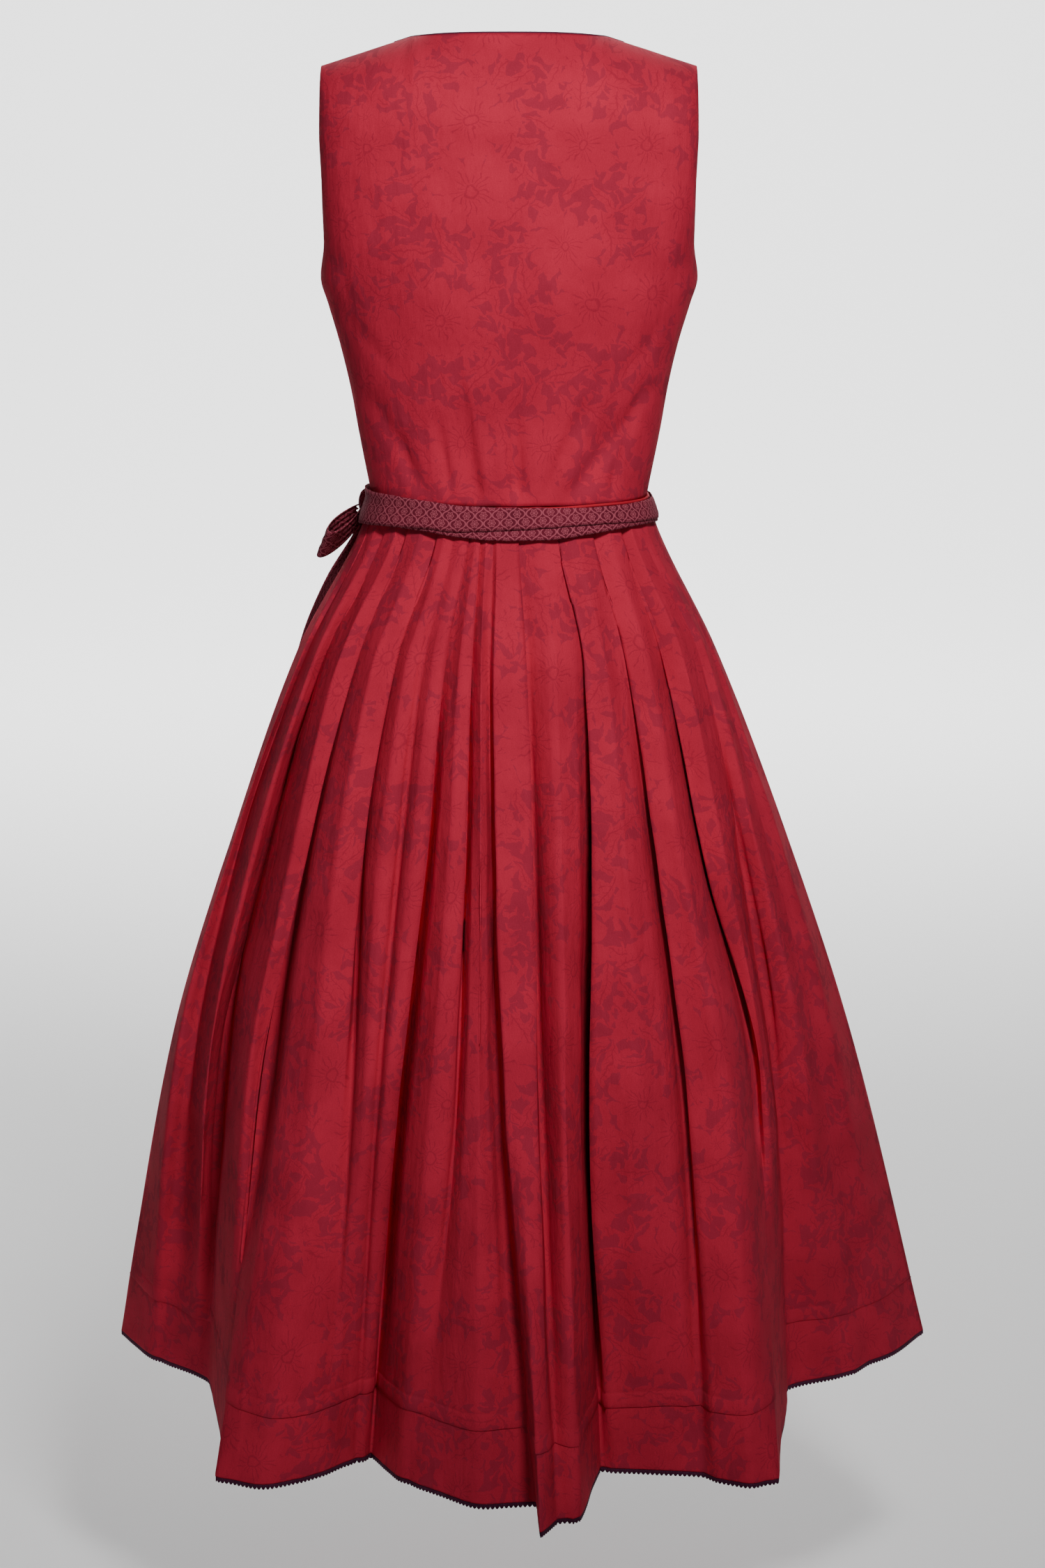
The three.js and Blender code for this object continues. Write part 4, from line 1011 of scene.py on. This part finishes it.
PIPING_RADIUS, PIPING_DROP = 1.3, 1.6
piping_angles = np.arange(0, 360, 2.5)
# The ties press it down over most of the back
piping_drop = PIPING_DROP * smooth_step(20, 40, piping_angles) * (1 - smooth_step(100, 130, piping_angles))
piping_path = waist_point(piping_angles, WAIST_Z - piping_drop, 1.0)
waist_piping = tube_object("waist_piping_cord", piping_path, PIPING_RADIUS, closed=True)
dress_piece(waist_piping, BRIGHT_RED, "dress", "waist_piping")

NECK_SHARE = 0.38
NECK_RADIUS = 1.15
neck_across = np.linspace(NECK_SHARE, -NECK_SHARE, 70)
neck_edge = bodice_point(neck_across, 0.9985, 1)
beyond = unit(neck_edge - bodice_point(neck_across, 0.97, 1))
neck_normals = bodice_normals(neck_across, np.full_like(neck_across, 0.99), 1)
neck_path = neck_edge + beyond * (SEAM + 1.2) - neck_normals * 0.75
neck_piping = tube_object("neck_piping_cord", neck_path, NECK_RADIUS)
dress_piece(neck_piping, DARK_BURGUNDY, "trim", "neck_piping_back")


# The apron
# A gathered panel of burgundy cotton, printed with a fine pink ornament, on a flat waistband.
OVER_PIPING, OVER_BAND, OVER_TIES = 2.3, 4.0, 5.5
APRON_LIFT, TIE_LIFT = 1.2, 0.9
APRON_TOP_Z, APRON_HEM_Z = -398.3, -1098
APRON_RIGHT, APRON_LEFT = 205, 335
APRON_GATHERS = 24
APRON_OPEN_Z, APRON_BROAD_Z = -560, -520
APRON_CLOTH = 0.8
BAND_RIGHT, BAND_LEFT = 198, 342
BAND_BOTTOM, BAND_TOP = -398, -371


def ornament_print():
    """Rows of small round flowers, each in a net of linked ovals, as thin lines on a dark ground."""
    group, given = new_group("ornament print")
    x, y, _ = split(given["Place"])
    row_height, pitch, line = 6.6 * MM, 14 * MM, 0.34 * MM
    row = y / row_height
    row_number = calc("ROUND", row)
    shifted = x / pitch + calc("FLOORED_MODULO", row_number, 2.0) * 0.5
    in_x = (shifted - calc("ROUND", shifted)) * pitch
    in_y = (row - row_number) * row_height

    def outline(value):
        return fading(calc("ABSOLUTE", value), line * 0.6, line * 1.4)

    def radius(across):
        return calc("SQRT", across * across + in_y * in_y)

    distance = radius(in_x)
    petals = outline(distance - (2.7 * MM + calc("COSINE", calc("ARCTAN2", in_y, in_x) * 6.0) * (0.4 * MM)))
    heart = fading(distance, 0.7 * MM, 1.1 * MM)
    net = outline(radius(in_x / 1.75) - 3.7 * MM)
    return put_out(group, Lines=highest(petals, heart, net, outline(distance - 1.6 * MM) * 0.6))


ORNAMENT_PRINT = ornament_print()


def ornamented_cotton():
    material, shader, place = new_cloth("burgundy_ornamented_cotton")
    weave = use(COTTON_WEAVE, Place=place, Pitch=0.4)
    tone = use(SOFT_TONE, Place=place)["Tone"] * 0.6 + weave["Tone"] * 0.4
    ground = blend_colour(tone, (0.100, 0.010, 0.021, 1), (0.170, 0.017, 0.034, 1))
    lines = use(ORNAMENT_PRINT, Place=place)["Lines"] * 0.8
    looks = {
        "Base Color": blend_colour(lines, ground, (0.42, 0.09, 0.125, 1)),
        "Normal": bump(weave["Height"], 0.25, 0.0001),
        "Roughness": 0.85,
        "Specular IOR Level": 0.06,
    }
    fill(shader, looks)
    return material


ORNAMENTED = ornamented_cotton()


def apron_out(share, z):
    """How far the apron stands out: fine gathers at the band that open into broad folds."""
    opened = 1 - smooth_step(APRON_OPEN_Z, BAND_BOTTOM, z)
    low = 1 - smooth_step(APRON_HEM_Z, APRON_BROAD_Z, z)
    fine = 0.5 - 0.5 * np.cos(2 * np.pi * APRON_GATHERS * share)
    broad = 0.5 - 0.5 * np.cos(2 * np.pi * (APRON_GATHERS / 3) * share + 0.8 * np.sin(9 * share))
    gathers = fine * (2.2 + 1.6 * opened - 0.6 * low)
    return OVER_PIPING + 1.4 * low + gathers + broad * (1.5 * opened + 7 * low)


apron_shares = np.linspace(0, 1, int(APRON_GATHERS * 11 * FINE) + 1)[None, :]
apron_heights = np.linspace(APRON_HEM_Z, APRON_TOP_Z, int(110 * FINE))[:, None]
below_band = smooth_step(0, 60, APRON_TOP_Z - apron_heights)
apron_uneven = crumple(apron_shares * 520, apron_heights, 24, 0.7) * below_band
apron_distance = apron_out(apron_shares, apron_heights) + APRON_LIFT + apron_uneven
apron_points = waist_point(mix(APRON_RIGHT, APRON_LEFT, apron_shares), apron_heights, apron_distance)
apron_uv = corner_uv(lengths(apron_points), apron_heights)
apron_panel = cloth_object("apron_panel_cloth", apron_points, apron_uv, APRON_CLOTH)
dress_piece(apron_panel, ORNAMENTED, "apron", "apron_panel")

STRIP_CLOTH = 0.7


def waist_strip(name, angles, bottom, top, out, profile, waver=0.0, closed=False):
    """A strip round the waist. profile lifts it across its width, and waver crumples it along its length."""
    shares = np.linspace(0, 1, len(profile))[:, None]
    run = lengths(waist_point(angles, (bottom + top) / 2, out))
    ruck = waver * (np.sin(run / 5.2 + 2.4 * np.sin(run / 31)) + 0.6 * np.sin(run / 2.9 + 1.1))
    heights = mix(bottom, top, shares) + np.abs(2 * shares - 1) ** 3 * 0.35 * ruck
    lift = out + np.array(profile)[:, None] + ruck * np.sin(np.pi * shares) * 0.7
    u, v = run, heights - bottom
    if closed:
        u, v = np.append(u, u[-1] + u[1] - u[0]), np.concatenate([v, v[:, :1]], axis=1)
    return cloth_object(name, waist_point(angles, heights, lift), corner_uv(u, v), STRIP_CLOTH, closed)


band_angles = np.linspace(BAND_RIGHT, BAND_LEFT, 120)
band_edges = [np.full(band_angles.shape, float(edge)) for edge in (BAND_BOTTOM, BAND_TOP)]
band_profile = [-0.4, 0.1, 0.2, 0.2, 0.2, 0.1, -0.4]
band_out = OVER_PIPING + APRON_LIFT
apron_waistband = waist_strip("apron_waistband_cloth", band_angles, *band_edges, band_out, band_profile)
dress_piece(apron_waistband, ORNAMENTED, "apron", "apron_waistband")


# The ties
# Two long strips from the ends of the waistband: they cross at the back, come round to the wearer's
# left, one over the other, and end in the bow. Being tied tight, they ruck into fine cross creases.
# Each row is an angle round the waist and the heights of the strip's two edges there.
UPPER_TIE = [
    [0, -392, -362],
    [38, -389, -363],
    [57, -388.5, -365.5],
    [72, -390.5, -368.5],
    [88, -389, -370],
    [104, -386.8, -370.5],
    [122, -385.2, -371],
    [150, -386, -370],
    [180, -388, -369.5],
    [225, -390, -369],
    [270, -392, -368],
    [315, -393, -366],
    [360, -391.5, -362],
]
LOWER_TIE = [
    [-18, -398, -371],
    [0, -392, -366],
    [40, -389, -375],
    [57, -390.5, -380],
    [72, -394.5, -384],
    [90, -397.5, -387],
    [104, -396.8, -386],
    [122, -392.5, -380],
    [150, -389, -375],
    [180, -391, -372],
    [198, -398, -371],
]
STRIP_PROFILE = [-0.5, 0.15, 0.35, 0.15, 0.3, 0.15, 0.35, 0.15, -0.5]


def tie_strip(name, rows, angles, out, waver, closed=False):
    knots, bottoms, tops = np.array(rows, float).T
    edges = through(knots, bottoms, angles), through(knots, tops, angles)
    strip = waist_strip(name + "_cloth", angles, *edges, out, STRIP_PROFILE, waver, closed)
    return dress_piece(strip, ORNAMENTED, "apron", name)


upper_angles = np.linspace(0, 360, int(420 * FINE), endpoint=False)
tie_upper = tie_strip("tie_upper", UPPER_TIE, upper_angles, OVER_BAND + TIE_LIFT, 0.35, True)
lower_angles = np.linspace(-17.9, 197.9, int(260 * FINE))
tie_lower = tie_strip("tie_lower", LOWER_TIE, lower_angles, OVER_PIPING + TIE_LIFT, 0.25)


# The bow
# A knot with two loops that droop from it and two tails that hang down over the apron.
KNOT_ANGLE, KNOT_Z = 336, -381
KNOT_HALF_WIDTH, KNOT_HALF_HEIGHT, KNOT_HALF_DEPTH = 12, 12, 6.5
KNOT_OUT = OVER_TIES + KNOT_HALF_DEPTH + 2 * SEAM
KNOT_TIGHTNESS = 0.97
DEGREES_PER_MM = 0.475


def bow_knot():
    """A knot of cloth pulled round: a rounded block, drawn in at its ends, with folds that run over it."""
    up = np.linspace(-math.pi / 2, math.pi / 2, 22)[:, None]
    turn = np.linspace(0, 2 * math.pi, 30, endpoint=False)
    folds = 1 + 0.05 * np.cos(up) * np.sin(5 * turn + 2.2 * up) + 0.03 * np.sin(9 * turn)
    across = KNOT_HALF_WIDTH * np.cos(up) * np.sin(turn) * folds
    away = KNOT_HALF_DEPTH * np.cos(up) * np.cos(turn) * folds
    rise = KNOT_HALF_HEIGHT * np.sin(up)
    centre, further = (waist_point(KNOT_ANGLE, KNOT_Z, KNOT_OUT + more) for more in (0, 1))
    out, upright = further - centre, np.array([0, 0, 1])
    swell = away[..., None] * out + across[..., None] * np.cross(upright, out) + rise[..., None] * upright
    uv = corner_uv(np.linspace(0, 44, 31), np.linspace(0, 22, 22)[:, None])
    return cloth_object("bow_knot_cloth", centre + KNOT_TIGHTNESS * swell, uv, STRIP_CLOTH, True)


def bow_loop(name, side, length, droop, lift):
    """A strip bent back on itself, wider and fuller towards its far end."""
    u = np.linspace(0, 1, int(90 * FINE))
    reach = (1 - np.cos(2 * np.pi * u)) / 2
    along = KNOT_HALF_WIDTH + 3 * SEAM + length * reach
    out = 8 * np.sin(2 * np.pi * u) * np.sqrt(reach) + 2.2 * np.cos(np.pi * u)
    shares = np.linspace(1, -1, 13)[:, None]
    across = shares * mix(7, 15, reach**0.7)
    fold = 1.3 * np.cos(3.2 * np.pi * shares) * (1 - reach**2)
    cosine, sine = math.cos(math.radians(droop)), math.sin(math.radians(droop))
    aside, fall = along * cosine - across * sine, along * sine + across * cosine
    distance = KNOT_OUT + lift * reach + out + fold
    points = waist_point(KNOT_ANGLE + side * aside * DEGREES_PER_MM, KNOT_Z - fall, distance)
    # The outside of both loops faces away from the dress
    points = points if side < 0 else points[:, ::-1]
    uv = corner_uv(lengths(points)[[6]], across)
    return dress_piece(cloth_object(name + "_cloth", points, uv, STRIP_CLOTH), ORNAMENTED, "apron", name)


knot = dress_piece(bow_knot(), ORNAMENTED, "apron", "bow_knot")
loop_back = bow_loop("bow_loop_back", side=1, length=44, droop=34, lift=11)
loop_front = bow_loop("bow_loop_front", side=-1, length=58, droop=14, lift=20)

TAIL_WIDTH = 34
TAIL_COLUMNS = ["name", "start_angle", "end_angle", "end_z", "start_out", "end_out", "sway"]
TAIL_COLUMNS += ["cut_width", "cut_length"]
TAILS = [
    ["bow_tail_back", 338, 325, -650, 7.5, 12.5, 3, 0.031, 0.286],
    ["bow_tail_front", 328, 312, -700, 9.5, 17, 4, 0.034, 0.339],
]
TAIL_TOP_Z = KNOT_Z - KNOT_HALF_HEIGHT - 1


def bow_tail(tail):
    z = np.linspace(tail["end_z"], TAIL_TOP_Z, int(90 * FINE))[:, None]
    fall = (TAIL_TOP_Z - z) / (TAIL_TOP_Z - tail["end_z"])
    angle = mix(tail["start_angle"], tail["end_angle"], fall)
    degrees_per_mm = np.degrees(1 / np.hypot(*outline_place(angle, z)))
    half_width = mix(8, TAIL_WIDTH / 2, smooth_step(0, 0.25, fall))
    across = np.linspace(-1, 1, 15)
    wave = tail["sway"] * fall * (1 + np.sin(across * 2.2 + fall * 4))
    pleats = 1.2 * (1 - smooth_step(0, 0.35, fall)) * np.cos(4 * np.pi * across)
    hang = mix(tail["start_out"], tail["end_out"], smooth_step(0, 0.2, fall)) + 2.5 * fall
    distance = hang + wave + pleats + 1.0
    points = waist_point(angle + across * half_width * degrees_per_mm, z, distance)
    return cloth_object(tail["name"] + "_cloth", points, corner_uv(across * TAIL_WIDTH / 2, z), STRIP_CLOTH)


for row in TAILS:
    tail = dict(zip(TAIL_COLUMNS, row))
    piece = dress_piece(bow_tail(tail), ORNAMENTED, "apron", tail["name"])


# The buttons
# Six cast metal buttons of antique silver colour down the front band. Their CAD solids are kept.
def antique_silver():
    material, shader = new_material("antique_silver_buttons")
    place = node(shader.id_data, "ShaderNodeTexCoord", {})["Object"]
    grain = join("ShaderNodeTexNoise", {"Vector": place, "Scale": 420.0, "Detail": 3.0})[0]
    looks = {
        "Base Color": blend_colour(ramp(grain, 0.35, 0.62), (0.10, 0.09, 0.08, 1), (0.52, 0.49, 0.45, 1)),
        "Roughness": ramp(grain, 0.3, 0.7, 0.55, 0.3),
        "Normal": bump(grain, 0.4, 0.0004),
        "Metallic": 0.9,
    }
    fill(shader, looks)
    return material


ANTIQUE_SILVER = antique_silver()
for name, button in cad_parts.items():
    if name.startswith("button_") and name != "button_band":
        button.data.materials.clear()
        button.data.materials.append(ANTIQUE_SILVER)


# Floor, backdrop and light
# A pale studio sweep: paper that runs over the floor and bends up into a wall far behind the dress. Lamps
# behind the dress light the sweep, and a soft key lamp stands above the camera, a little to its right.
FLOOR_Z = -1.42
SWEEP_FRONT, SWEEP_BACK, SWEEP_SIDE, SWEEP_TOP, SWEEP_BEND = 9, -7.6, 13, 8, 1.8
SWEEP_STEPS = 12


def studio_sweep():
    profile = [(SWEEP_FRONT, FLOOR_Z), (SWEEP_BACK + SWEEP_BEND, FLOOR_Z)]
    for step in range(1, SWEEP_STEPS + 1):
        angle = math.radians(90 * step / SWEEP_STEPS)
        y = SWEEP_BACK + SWEEP_BEND * (1 - math.sin(angle))
        profile.append((y, FLOOR_Z + SWEEP_BEND * (1 - math.cos(angle))))
    profile.append((SWEEP_BACK, SWEEP_TOP))
    vertices = [(x, y, z) for y, z in profile for x in (-SWEEP_SIDE, SWEEP_SIDE)]
    faces = [(2 * i, 2 * i + 1, 2 * i + 3, 2 * i + 2) for i in range(len(profile) - 1)]
    mesh = bpy.data.meshes.new("studio_sweep")
    mesh.from_pydata(vertices, [], faces)
    mesh.polygons.foreach_set("use_smooth", [True] * len(mesh.polygons))
    sweep = bpy.data.objects.new("studio_sweep", mesh)
    bpy.context.scene.collection.objects.link(sweep)
    material, shader = new_material("studio_paper")
    fill(shader, {"Base Color": (0.86, 0.86, 0.86, 1), "Roughness": 0.9})
    mesh.materials.append(material)


LAMPS = [
    ["key", "SPOT", (-0.36, 1.75, 0.9), (0, 0.1, -0.26), 0.4, 185],
    ["fill", "AREA", (0.4, 3.1, -0.2), (0, 0.1, -0.4), 1.2, 4],
    ["front", "AREA", (0.4, -2.6, 1.2), (0, 0, -0.5), 1.4, 11],
    ["backdrop_left", "AREA", (2.2, -4.6, 2.2), (1.6, -7.6, 0.2), 2.4, 230],
    ["backdrop_right", "AREA", (-2.2, -4.6, 2.2), (-1.6, -7.6, 0.2), 2.4, 230],
    ["floor", "AREA", (0, -4.4, 2.4), (0, -3.8, -1.4), 2.6, 240],
]
SPOT_CONE = 58
WORLD_STRENGTH = 0.05


def lamp(name, kind, place, target, size, power):
    light = bpy.data.lights.new(name, kind)
    light.energy = power
    if kind == "AREA":
        light.shape = "DISK"
        light.size = size
    else:
        light.shadow_soft_size = size / 2
        light.spot_size = math.radians(SPOT_CONE)
        light.spot_blend = 1
    made = bpy.data.objects.new(name, light)
    made.location = place
    way = np.array(target) - np.array(place)
    level = math.hypot(way[0], way[1])
    made.rotation_euler = (math.atan2(level, -way[2]), 0, math.atan2(-way[0], way[1]))
    bpy.context.scene.collection.objects.link(made)


studio_sweep()
for row in LAMPS:
    lamp(*row)

world = bpy.data.worlds.new("studio")
world.use_nodes = True
fill(world.node_tree.nodes["Background"], {"Color": (1, 1, 1, 1), "Strength": WORLD_STRENGTH})
bpy.context.scene.world = world
